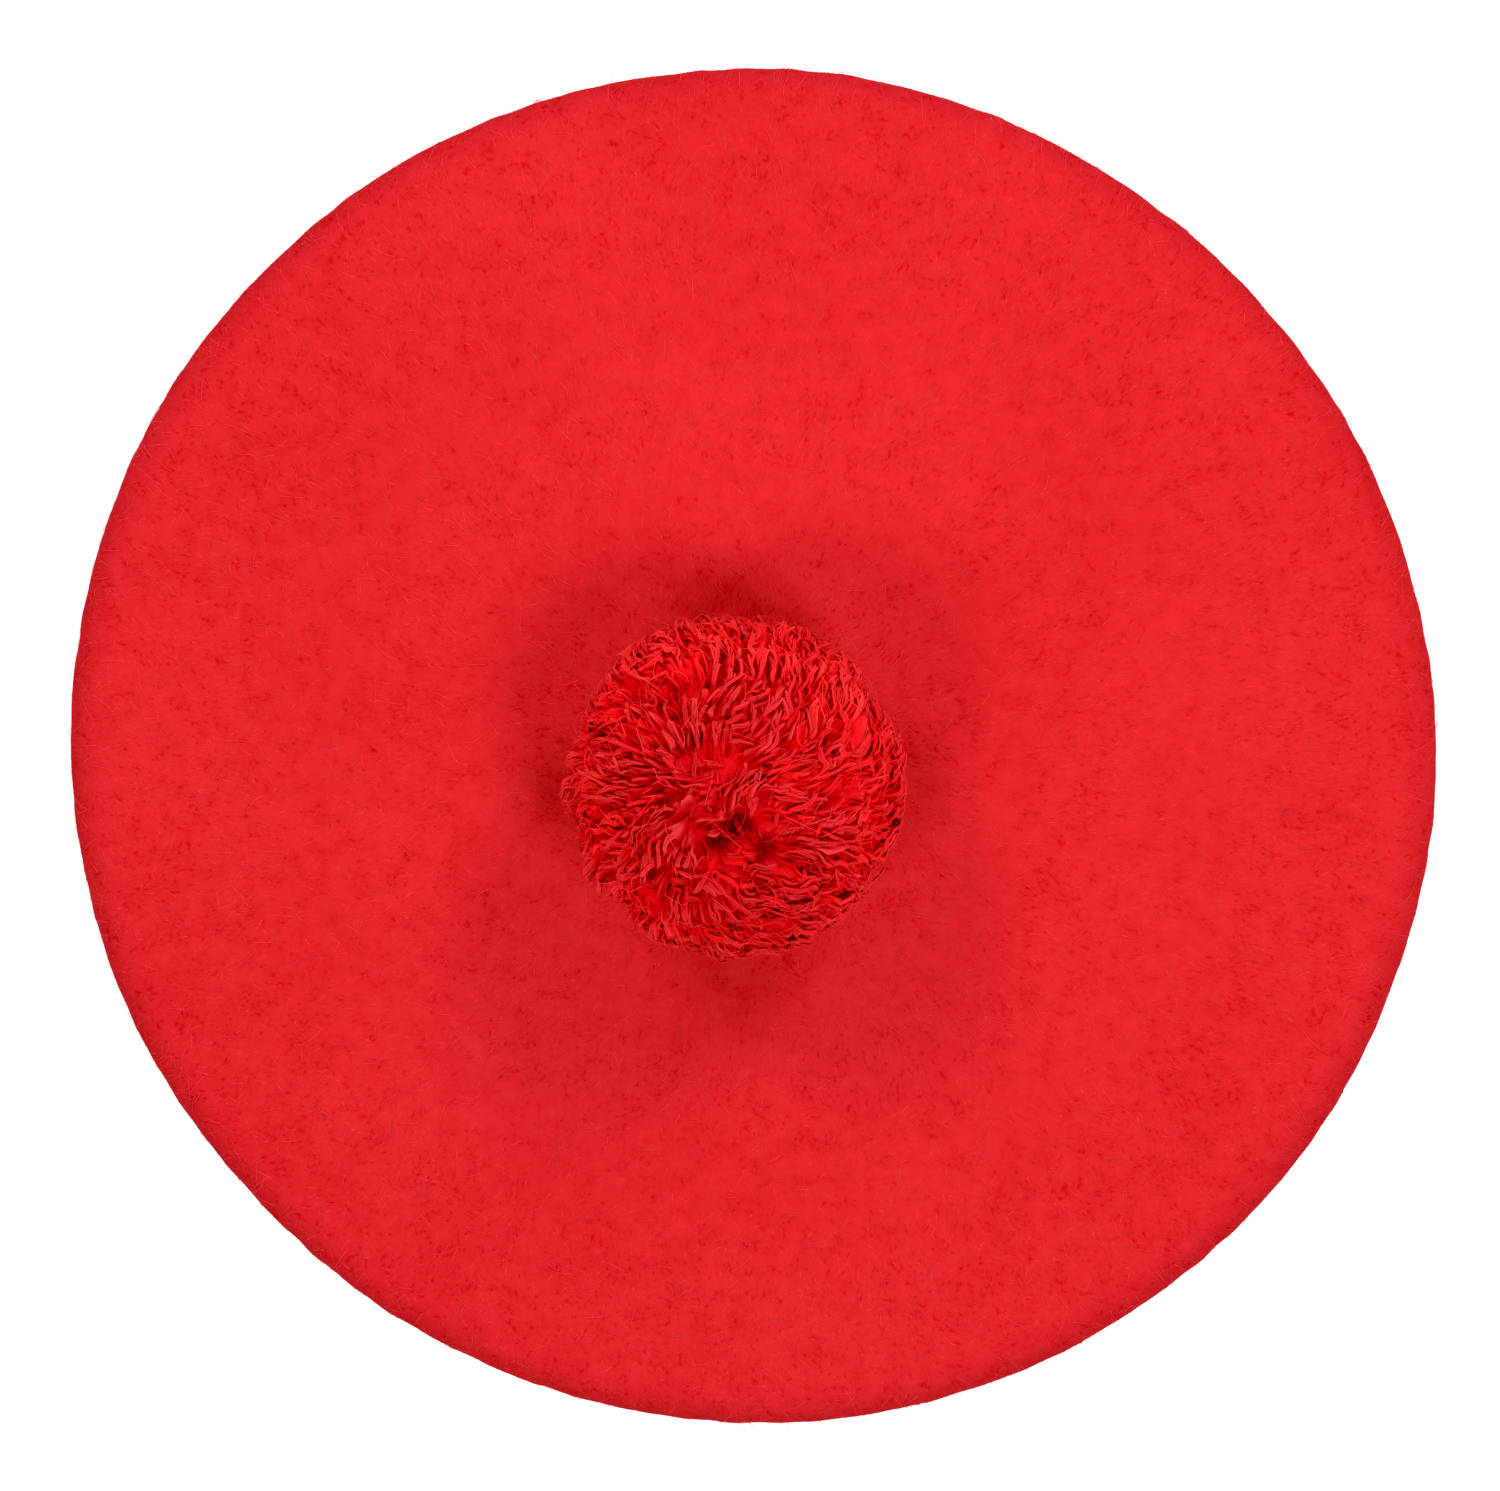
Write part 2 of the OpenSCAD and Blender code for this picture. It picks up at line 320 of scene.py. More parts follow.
def tube_skin(paths: Array, radii: Array, sides: int) -> tuple[Array, list[Array]]:
    """Round tubes: each ring is p + r (cos a * across + sin a * up), square to the path at p.

    A flat cap closes each end.

    Args:
        paths: Middle lines, as tubes by rings by x, y, z.
        radii: Radius at each ring, as tubes by rings.
        sides: Number of sides.

    Returns:
        All the corner places, and the blocks of faces.
    """
    tubes, rings, _ = paths.shape
    across, up = path_frames(paths)
    angle = TAU * np.arange(sides) / sides
    ring = across[:, :, None, :] * np.cos(angle)[:, None] + up[:, :, None, :] * np.sin(angle)[:, None]
    points = paths[:, :, None, :] + radii[:, :, None, None] * ring
    quads = grid_quads(rings, sides, False, True)
    first = (np.arange(tubes) * rings * sides)[:, None, None]
    start_cap = np.arange(sides)[None, None, :]
    end_cap = ((rings - 1) * sides + np.arange(sides))[::-1][None, None, :]
    blocks = [(quads[None] + first).reshape(-1, 4)]
    blocks += [(start_cap + first).reshape(-1, sides), (end_cap + first).reshape(-1, sides)]
    return points.reshape(-1, 3), blocks


def tube_object(
    name: str, paths: Array, radii: Array, sides: int, tones: dict[str, Array] | None = None
) -> Piece:
    """Makes one piece of many tubes, with any per-ring values spread round each ring.

    Args:
        name: Name of the piece.
        paths: Middle lines, as tubes by rings by x, y, z.
        radii: Radius at each ring, as tubes by rings.
        sides: Number of sides.
        tones: Values for each ring, as tubes by rings, by attribute name.

    Returns:
        The new object.
    """
    points, faces = tube_skin(paths, radii, sides)
    spread = {key: np.repeat(value.reshape(-1), sides) for key, value in (tones or {}).items()}
    return mesh_object(name, points, faces, spread)


def plied(paths: Array, radius: float, plies: int, pitch: float) -> tuple[Array, Array]:
    """Lays plies round each path like the strands of a yarn, each a helix of the given pitch.

    A ply's middle is p + d (cos b * across + sin b * up), where b grows by one turn in each pitch of the
    path's length and the plies start evenly round the circle. They just touch each other inside radius.

    Args:
        paths: Middle lines of the yarns, as yarns by rings by x, y, z.
        radius: Outer radius of the yarn.
        plies: Number of plies.
        pitch: Length of path in one turn.

    Returns:
        The plies' middle lines, and their radii.
    """
    share = math.sin(math.pi / plies)
    ply_radius = radius * share / (1.0 + share)
    across, up = path_frames(paths)
    steps = np.linalg.norm(np.diff(paths, axis=1), axis=-1)
    length = np.concatenate([np.zeros((len(paths), 1)), np.cumsum(steps, axis=1)], axis=1)
    lines = []
    for ply in range(plies):
        turn = (TAU * (length / pitch + ply / plies))[..., None]
        lines.append(paths + (radius - ply_radius) * (np.cos(turn) * across + np.sin(turn) * up))
    middle = np.concatenate(lines)
    return middle, np.full(middle.shape[:2], ply_radius)


@dataclass(frozen=True)
class Thread:
    """Two-ply sewing thread: its radius, how far it stands out of the cloth, and the length of one turn."""

    radius: float = 0.25 * MM
    proud: float = 0.15 * MM
    pitch: float = 1.1 * MM
    sides: int = 6

    def piece(self, name: str, paths: Array) -> Piece:
        """Makes a piece of thread along whole paths, all of it on the crest of its colour."""
        middle, radii = plied(paths, self.radius, 2, self.pitch)
        return tube_object(name, middle, radii, self.sides, {"rib": np.ones_like(radii)})


@dataclass(frozen=True)
class Yarn:
    """Plied wool yarn: its radius, its plies, and the length of one turn of a ply."""

    radius: float = 0.85 * MM
    plies: int = 3
    pitch: float = 3.2 * MM
    sides: int = 8
    shades: Pair = (0.35, 0.65)
    tip_share: float = 0.75

    def piece(self, name: str, paths: Array) -> Piece:
        """Makes a piece of yarn along whole paths, with fixed shades for its plies.

        Args:
            name: Name of the piece.
            paths: Middle lines of the yarns, as yarns by rings by x, y, z.

        Returns:
            The new object.
        """
        middle, radii = plied(paths, self.radius, self.plies, self.pitch)
        shade = np.repeat(np.linspace(*self.shades, len(middle))[:, None], middle.shape[1], axis=1)
        tones = {
            "shade": shade,
            "tip_share": np.full_like(shade, self.tip_share),
            "edge_highlight": np.zeros_like(shade),
        }
        return tube_object(name, middle, radii, self.sides, tones)

    def pair(self, name: str, side: float, height: Array) -> Piece:
        """Makes two upright yarns, one at x = -side and one at x = side, along the given heights."""
        paths = [
            np.stack([np.full_like(height, way * side), np.zeros_like(height), height], axis=1)
            for way in (-1.0, 1.0)
        ]
        return self.piece(name, np.stack(paths))


# ---- finishes


class Shader:
    """A material's node tree, with one short call for each kind of node that the finishes use."""

    def __init__(self, name: str) -> None:
        """Starts a material whose surface is one principled shader.

        Args:
            name: Name of the material.
        """
        self.material = bpy.data.materials.new(name)
        self.material.use_nodes = True
        self.tree = self.material.node_tree
        self.surface = self.tree.nodes["Principled BSDF"]

    def node(self, kind: str, inputs: dict, **settings: object) -> bpy.types.Node:
        """Adds a node.

        Args:
            kind: Blender's name of the node's type.
            inputs: By socket name or number, a value or the socket that it is linked from.
            **settings: The node's own properties.

        Returns:
            The new node.
        """
        made = self.tree.nodes.new(kind)
        for key, value in settings.items():
            setattr(made, key, value)
        for key, value in inputs.items():
            if isinstance(value, Socket):
                self.tree.links.new(value, made.inputs[key])
            else:
                made.inputs[key].default_value = value
        return made

    def place(self) -> Socket:
        """The place on the piece, in metres from its origin."""
        return self.node("ShaderNodeTexCoord", {}).outputs["Object"]

    def tone(self, key: str) -> Socket:
        """A value that the mesh keeps for each corner, by attribute name."""
        return self.node("ShaderNodeAttribute", {}, attribute_name=key).outputs["Fac"]

    def noise(self, where: Socket, cell: float, detail: float = 2.0, rough: float = 0.5) -> Socket:
        """Noise of 0 to 1 whose largest lumps are about one cell across.

        Args:
            where: Socket of the place where it is read.
            cell: Size of the lumps.
            detail: Number of finer layers.
            rough: Height of each finer layer against the last.

        Returns:
            The height's socket.
        """
        settings = {"Vector": where, "Scale": 1.0 / cell, "Detail": detail, "Roughness": rough}
        return self.node("ShaderNodeTexNoise", settings).outputs[0]

    def math(self, operation: str, first: Feed, second: Feed) -> Socket:
        """Arithmetic on two numbers, by Blender's name of the operation."""
        return self.node("ShaderNodeMath", {0: first, 1: second}, operation=operation).outputs[0]

    def vector(
        self, operation: str, first: Feed, second: Feed | None = None, scale: Feed | None = None
    ) -> Socket:
        """Arithmetic on vectors.

        Args:
            operation: Blender's name of the operation.
            first: First vector.
            second: Second vector, where the operation has one.
            scale: Factor, where the operation has one.

        Returns:
            The result's socket.
        """
        inputs = {0: first}
        if second is not None:
            inputs[1] = second
        if scale is not None:
            inputs["Scale"] = scale
        return self.node("ShaderNodeVectorMath", inputs, operation=operation).outputs[0]

    def spread(self, value: Feed, low: float, high: float, to_low: float, to_high: float) -> Socket:
        """Maps low..high to to_low..to_high with eased ends, and holds the ends outside it.

        Args:
            value: Number that is mapped.
            low: Where the step begins.
            high: Where the step ends.
            to_low: Result at low.
            to_high: Result at high.

        Returns:
            The result's socket.
        """
        inputs = {0: value, 1: low, 2: high, 3: to_low, 4: to_high}
        made = self.node("ShaderNodeMapRange", inputs, interpolation_type="SMOOTHSTEP")
        return made.outputs[0]

    def mix(self, share: Feed, first: Feed, second: Feed) -> Socket:
        """A number between first and second, by share."""
        return self.node("ShaderNodeMix", {0: share, 2: first, 3: second}, data_type="FLOAT").outputs[0]

    def tint(self, share: Feed, first: Feed, second: Feed) -> Socket:
        """Blends two colours.

        Args:
            share: Share of the second colour.
            first: First colour, or its socket.
            second: Second colour, or its socket.

        Returns:
            The blend's socket.
        """
        sides = [side if isinstance(side, Socket) else (*side, 1.0) for side in (first, second)]
        inputs = {0: share, 6: sides[0], 7: sides[1]}
        return self.node("ShaderNodeMix", inputs, data_type="RGBA").outputs[2]

    def dyed(self, colour: Feed, key: str, factor: Colour) -> Socket:
        """Multiplies a colour by a factor, as far as the mesh's value of that name says."""
        return self.vector("MULTIPLY", colour, self.tint(self.tone(key), WHITE, factor))

    def shaded(self, shade_range: float) -> Socket:
        """Each strand's own shade, 1 less to 1 more by the range."""
        return self.spread(self.tone("shade"), 0.0, 1.0, 1.0 - shade_range, 1.0 + shade_range)

    def bump(self, height: Feed, depth: float, strength: float, below: Feed | None = None) -> Socket:
        """A surface normal tilted by a height.

        Args:
            height: Height's socket, from 0 to 1.
            depth: Metres that a height of one stands for.
            strength: Share of the tilt that is used.
            below: Normal of a coarser bump under this one.

        Returns:
            The normal's socket.
        """
        inputs = {"Height": height, "Distance": depth, "Strength": strength}
        if below is not None:
            inputs["Normal"] = below
        return self.node("ShaderNodeBump", inputs).outputs[0]

    def lofty_normal(self, outward: Feed, loft: float) -> Socket:
        """Turns the face's normal towards the way out of a soft mass by the loft.

        Light that falls on a lofty mass of fibres is spread among them, so it follows the mass's own
        roundness more than the sides of each strand.

        Args:
            outward: The way out, in the object's own directions.
            loft: Share of that way in the normal.

        Returns:
            The normal's socket.
        """
        settings = {"vector_type": "NORMAL", "convert_from": "OBJECT", "convert_to": "WORLD"}
        turned = self.node("ShaderNodeVectorTransform", {0: outward}, **settings).outputs[0]
        own = self.node("ShaderNodeNewGeometry", {}).outputs["Normal"]
        parts = self.vector("SCALE", own, scale=1.0 - loft), self.vector("SCALE", turned, scale=loft)
        return self.vector("NORMALIZE", self.vector("ADD", *parts))

    def fuzz(self, weight: float, rough: float, tint: Colour) -> None:
        """Adds the soft gloss of fine fibres seen along the surface.

        Args:
            weight: Weight of the gloss.
            rough: How widely it spreads.
            tint: Its colour.
        """
        self.surface.inputs["Sheen Weight"].default_value = weight
        self.surface.inputs["Sheen Roughness"].default_value = rough
        self.surface.inputs["Sheen Tint"].default_value = (*tint, 1.0)

    def finish(self, colour: Socket, normal: Socket, rough: float, specular: float) -> Material:
        """Sets the shader's sockets.

        Args:
            colour: Colour's socket.
            normal: Normal's socket.
            rough: Roughness all over.
            specular: Level of the plain gloss.

        Returns:
            The finished material.
        """
        self.tree.links.new(colour, self.surface.inputs["Base Color"])
        self.tree.links.new(normal, self.surface.inputs["Normal"])
        self.surface.inputs["Roughness"].default_value = rough
        self.surface.inputs["Specular IOR Level"].default_value = specular
        return self.material


@dataclass(frozen=True)
class FeltFinish:
    """Fulled wool: a radial nap with small soft pits darkened partly by painted shade, pale streaks that are
    partly painted sheen, cloudy dye, and painted shade along the rim.

    Each range is where its noise goes from nothing to full. Depths are shares of the colour, except the
    bump's.
    """

    name: str
    ground: Colour = (0.572, 0.0216, 0.0250)
    # pit: the pits' colour, partly the felt's own deeper tone and partly painted shade in the hollows
    pit: Colour = (0.485, 0.0105, 0.0135)
    # pale: streak colour, partly paler fibres and partly painted sheen on the raised nap
    pale: Colour = (0.63, 0.0320, 0.0360)
    # rim: factors of the painted shade that darkens the felt where it turns down at its widest
    rim: Colour = (0.84, 0.72, 0.84)
    pit_width: float = 0.85 * MM
    pit_range: Pair = (0.27, 0.47)
    pit_mottle: float = 0.35
    nap_stretch: float = 0.70
    streak_width: float = 0.28 * MM
    streak_stretch: float = 0.16
    streak_range: Pair = (0.5, 0.75)
    streak_in_pit: float = 0.2
    wander: float = 5.0 * MM
    cloud: float = 45.0 * MM
    cloud_depth: float = 0.055
    mottle: float = 4.5 * MM
    mottle_depth: float = 0.08
    dye_depth: float = 2.6
    bump_depth: float = 0.30 * MM
    rings: Place = (0.040, 0.068, 0.112)

    def nap_places(self, shader: Shader) -> tuple[list[Socket], Socket]:
        """Places of the nap on rings of three sizes, and the share of the way from each ring to the next.

        A place at distance r from the axis and at length n along the nap is read at its direction times the
        ring's radius, with n squeezed for its height and a slow drift added.

        Args:
            shader: Shader that the nodes go into.

        Returns:
            The three places, and the distance from the axis.
        """
        place = shader.place()
        flat = shader.vector("MULTIPLY", place, (1.0, 1.0, 0.0))
        outward = shader.vector("NORMALIZE", flat)
        reach = shader.node("ShaderNodeVectorMath", {0: flat}, operation="LENGTH").outputs["Value"]
        rise = shader.node("ShaderNodeCombineXYZ", {"Z": shader.tone("nap_length")}).outputs[0]
        drift_inputs = {"Vector": place, "Scale": 1.0 / (4.0 * self.wander), "Detail": 2.0}
        drift = shader.node("ShaderNodeTexNoise", drift_inputs).outputs[1]
        centred = shader.vector("SUBTRACT", drift, (0.5, 0.5, 0.5))
        warp = shader.vector("SCALE", centred, scale=2.0 * self.wander)
        laid = shader.vector("ADD", rise, warp)
        places = [
            shader.vector("ADD", shader.vector("SCALE", outward, scale=ring), laid)
            for ring in self.rings
        ]
        return places, reach

    def blended(self, shader: Shader, values: list[Socket], reach: Socket) -> Socket:
        """Blends the three rings' values.

        Args:
            shader: Shader that the nodes go into.
            values: Value at each ring.
            reach: Distance from the axis.

        Returns:
            The blend's socket.
        """
        inner, middle, outer = self.rings
        value = shader.mix(shader.spread(reach, inner, middle, 0.0, 1.0), values[0], values[1])
        return shader.mix(shader.spread(reach, middle, outer, 0.0, 1.0), value, values[2])

    def material(self) -> Material:
        """Lays pits, darker partly through painted shade, and pale streaks, partly painted sheen, along the
        nap, clouds over both, and paints shade along the rim.

        Returns:
            The felt's material.
        """
        shader = Shader(self.name)
        places, reach = self.nap_places(shader)
        place = shader.place()
        pits, streaks = [], []
        for laid in places:
            squeezed = shader.vector("MULTIPLY", laid, (1.0, 1.0, self.nap_stretch))
            pits.append(shader.noise(squeezed, self.pit_width, 3.0, 0.6))
            drawn = shader.vector("MULTIPLY", laid, (1.0, 1.0, self.streak_stretch))
            streaks.append(shader.noise(drawn, self.streak_width, 2.0, 0.6))
        nap = self.blended(shader, pits, reach)
        streak = self.blended(shader, streaks, reach)
        mottle = shader.noise(place, self.mottle, 3.0, 0.65)
        cloud = shader.noise(place, self.cloud, 2.0, 0.5)
        lean = shader.math("MULTIPLY", shader.math("SUBTRACT", mottle, 0.5), self.pit_mottle)
        depth = shader.math("ADD", nap, lean)
        # pits: darker colour where the bump sinks, partly own tone and partly painted shade
        colour = shader.tint(shader.spread(depth, *self.pit_range, 0.0, 1.0), self.pit, self.ground)
        streaked = shader.spread(streak, *self.streak_range, 0.0, 1.0)
        raised = shader.spread(depth, 0.4, 0.7, self.streak_in_pit, 1.0)
        # pale streaks: partly paler fibres and partly painted sheen, mostly kept off the pits
        colour = shader.tint(shader.math("MULTIPLY", streaked, raised), colour, self.pale)
        light = shader.math(
            "ADD",
            shader.spread(mottle, 0.25, 0.75, 1.0 - self.mottle_depth / 2, 1.0 + self.mottle_depth / 2),
            shader.spread(cloud, 0.25, 0.75, -self.cloud_depth / 2, self.cloud_depth / 2),
        )
        deep = shader.math("POWER", light, self.dye_depth)
        tones = shader.node("ShaderNodeCombineXYZ", {"X": light, "Y": deep, "Z": deep}).outputs[0]
        colour = shader.vector("MULTIPLY", colour, tones)
        # painted shade along the rim, where the felt turns away from the lights
        colour = shader.dyed(colour, "rim", self.rim)
        coarse = shader.bump(mottle, self.mottle * 0.08, 0.3)
        normal = shader.bump(nap, self.bump_depth, 0.5, coarse)
        return shader.finish(colour, normal, rough=0.95, specular=0.02)


@dataclass(frozen=True)
class YarnFinish:
    """Spun wool: each end has its own shade, a root colour that paints fill light into the shaded depths, and
    a painted highlight along its edges.

    The flank factors are painted light on the sides of a ball, and the deep ones painted shade in the gaps
    between tufts.
    """

    name: str
    # root and tip: colours by height among the ends; the pompom's brighter roots paint fill light into the
    # shaded depths
    root: Colour
    tip: Colour
    # edge: colour of the painted highlight along the ends' edges, tips and crests
    edge: Colour
    fibre: float = 0.35 * MM
    fibre_depth: float = 0.04 * MM
    fibre_tone: float = 0.06
    shade_range: float = 0.08
    loft: float = 0.0
    fuzz: float = 0.0
    fuzz_tint: Colour = (1.0, 0.055, 0.055)
    # flank: factors of the painted light that brightens the sides of the ball
    flank_light: Colour = WHITE
    # deep: factors of the painted shade in the hollows and gaps between tufts
    deep: Colour = WHITE
    middle: Place = (0.0, 0.0, 58.0 * MM)

    def material(self) -> Material:
        """Blends from root to tip along each end, which paints fill light into the depths, then to the edge's
        painted highlight, and streaks it finely.

        Returns:
            The yarn's material.
        """
        shader = Shader(self.name)
        fibres = shader.noise(shader.place(), self.fibre, 3.0, 0.6)
        # root to tip by height: painted fill light in the depths between ends
        colour = shader.tint(shader.tone("tip_share"), self.root, self.tip)
        # painted highlight along edges and crests
        colour = shader.tint(shader.tone("edge_highlight"), colour, self.edge)
        shade = shader.shaded(self.shade_range)
        streak = shader.spread(fibres, 0.3, 0.7, 1.0 - self.fibre_tone, 1.0 + self.fibre_tone)
        colour = shader.vector("SCALE", colour, scale=shader.math("MULTIPLY", shade, streak))
        # painted light on the ball's sides
        colour = shader.dyed(colour, "flank_light", self.flank_light)
        # painted shade in the hollows and gaps
        colour = shader.dyed(colour, "deep", self.deep)
        outward = shader.vector("NORMALIZE", shader.vector("SUBTRACT", shader.place(), self.middle))
        below = shader.lofty_normal(outward, self.loft) if self.loft > 0.0 else None
        normal = shader.bump(fibres, self.fibre_depth, 0.4, below)
        shader.fuzz(self.fuzz, 0.5, self.fuzz_tint)
        return shader.finish(colour, normal, rough=0.95, specular=0.0)


@dataclass(frozen=True)
class FibreFinish:
    """Single loose fibres, paler than the cloth that they stand on, partly in their own tone and partly
    painted light for what passes through them, and lit much as that cloth is.
    """

    name: str
    colour: Colour
    loft: float = 0.6
    shade_range: float = 0.2
    scale: float = 0.2 * MM
    scale_depth: float = 0.02 * MM

    def material(self) -> Material:
        """Gives each fibre its own shade.

        Returns:
            The fibres' material.
        """
        shader = Shader(self.name)
        colour = shader.vector("SCALE", self.colour, scale=shader.shaded(self.shade_range))
        outward = shader.node("ShaderNodeCombineXYZ", {2: shader.tone("facing")}).outputs[0]
        below = shader.lofty_normal(outward, self.loft)
        normal = shader.bump(shader.noise(shader.place(), self.scale), self.scale_depth, 0.3, below)
        return shader.finish(colour, normal, rough=0.95, specular=0.0)


@dataclass(frozen=True)
class WeaveFinish:
    """Ribbed ribbon or twisted thread with a low lustre and painted shade in the grooves between its ribs."""

    name: str
    ground: Colour
    # groove: colour of the painted shade between the ribs
    groove_shade: Colour
    grain: float = 0.3 * MM
    rough: float = 0.55

    def material(self) -> Material:
        """Paints shade into the grooves between ribs and breaks the lustre with a fine grain.

        Returns:
            The ribbon's material.
        """
        shader = Shader(self.name)
        grain = shader.noise(shader.place(), self.grain, 3.0, 0.6)
        # painted shade in the grooves between ribs
        colour = shader.tint(shader.tone("rib"), self.groove_shade, self.ground)
        colour = shader.vector("SCALE", colour, scale=shader.spread(grain, 0.3, 0.7, 0.85, 1.15))
        normal = shader.bump(grain, 0.4 * self.grain, 0.5)
        return shader.finish(colour, normal, rough=self.rough, specular=0.3)


@dataclass(frozen=True)
class ResinFinish:
    """Cast resin: two shades swirled into each other under a polished face."""

    name: str
    ground: Colour
    swirl: Colour
    vein: float = 3.0 * MM
    polish: float = 0.5 * MM

    def material(self) -> Material:
        """Swirls the two shades and leaves fine polishing marks.

        Returns:
            The resin's material.
        """
        shader = Shader(self.name)
        place = shader.place()
        settings = {"Vector": place, "Scale": 1.0 / self.vein, "Detail": 3.0, "Distortion": 2.5}
        swirl = shader.node("ShaderNodeTexNoise", settings).outputs[0]
        colour = shader.tint(shader.spread(swirl, 0.4, 0.62, 0.0, 1.0), self.ground, self.swirl)
        normal = shader.bump(shader.noise(place, self.polish), self.polish / 50, 0.4)
        return shader.finish(colour, normal, rough=0.25, specular=0.5)


@dataclass(frozen=True)
class PaperFinish:
    """White studio paper."""

    name: str = "studio_paper"
    white: float = 0.93
    glow: float = 0.45
    tooth: float = 1.5 * MM

    def material(self) -> Material:
        """Even white with the faintest tooth, lit a little from behind like the bed of a light table.

        Returns:
            The floor's material.
        """
        shader = Shader(self.name)
        shader.surface.inputs["Emission Color"].default_value = (1.0, 1.0, 1.0, 1.0)
        shader.surface.inputs["Emission Strength"].default_value = self.glow
        tooth = shader.noise(shader.place(), self.tooth)
        shade = shader.spread(tooth, 0.3, 0.7, 0.995, 1.005)
        colour = shader.vector("SCALE", (self.white,) * 3, scale=shade)
        return shader.finish(colour, shader.bump(tooth, 0.02 * MM, 0.2), rough=0.9, specular=0.1)


class Finish(Enum):
    """The finishes of the beret's pieces, in the colours of one red dye on each kind of fibre."""

    WOOL_FELT = FeltFinish("wool_felt")
    PATCH_FELT = FeltFinish(
        "patch_felt", ground=(0.45, 0.020, 0.024), pit=(0.35, 0.012, 0.015), pale=(0.52, 0.030, 0.034)
    )
    # colour raised above the felt's: partly paler fibres, partly painted light passing through them
    NAP_FIBRE = FibreFinish("nap_fibre", (0.86, 0.060, 0.064))
    POMPOM_YARN = YarnFinish(
        "pompom_yarn",
        root=(0.66, 0.0125, 0.0160),
        tip=(0.47, 0.0120, 0.0150),
        edge=(0.66, 0.0480, 0.0500),
        loft=0.7,
        fuzz=1.0,
        # painted light on the ball's sides
        flank_light=(1.50, 1.28, 1.28),
        # painted shade in the hollows and gaps between tufts
        deep=(0.50, 0.70, 0.70),
    )
    POMPOM_PILE = YarnFinish(
        "pompom_pile",
        root=(0.57, 0.0125, 0.0160),
        tip=(0.45, 0.0120, 0.0150),
        edge=(0.62, 0.0400, 0.0420),
        loft=0.35,
        fuzz=0.8,
        flank_light=(1.50, 1.28, 1.28),
        deep=(0.50, 0.70, 0.70),
    )
    TIE_YARN = YarnFinish(
        "tie_yarn", root=(0.60, 0.010, 0.013), tip=(0.62, 0.020, 0.023), edge=(0.66, 0.045, 0.046)
    )
    # colour raised above the yarn's: partly paler fibres, partly painted light passing through them
    POMPOM_FIBRE = FibreFinish("pompom_fibre", (0.88, 0.042, 0.044))
    SEWING_THREAD = WeaveFinish("sewing_thread", (0.50, 0.022, 0.026), (0.30, 0.012, 0.015), 0.15 * MM)
    GROSGRAIN = WeaveFinish("grosgrain", (0.42, 0.022, 0.028), (0.24, 0.012, 0.015))
    BUTTON_RESIN = ResinFinish("button_resin", (0.36, 0.020, 0.026), (0.22, 0.012, 0.016))


# ---- the felt body


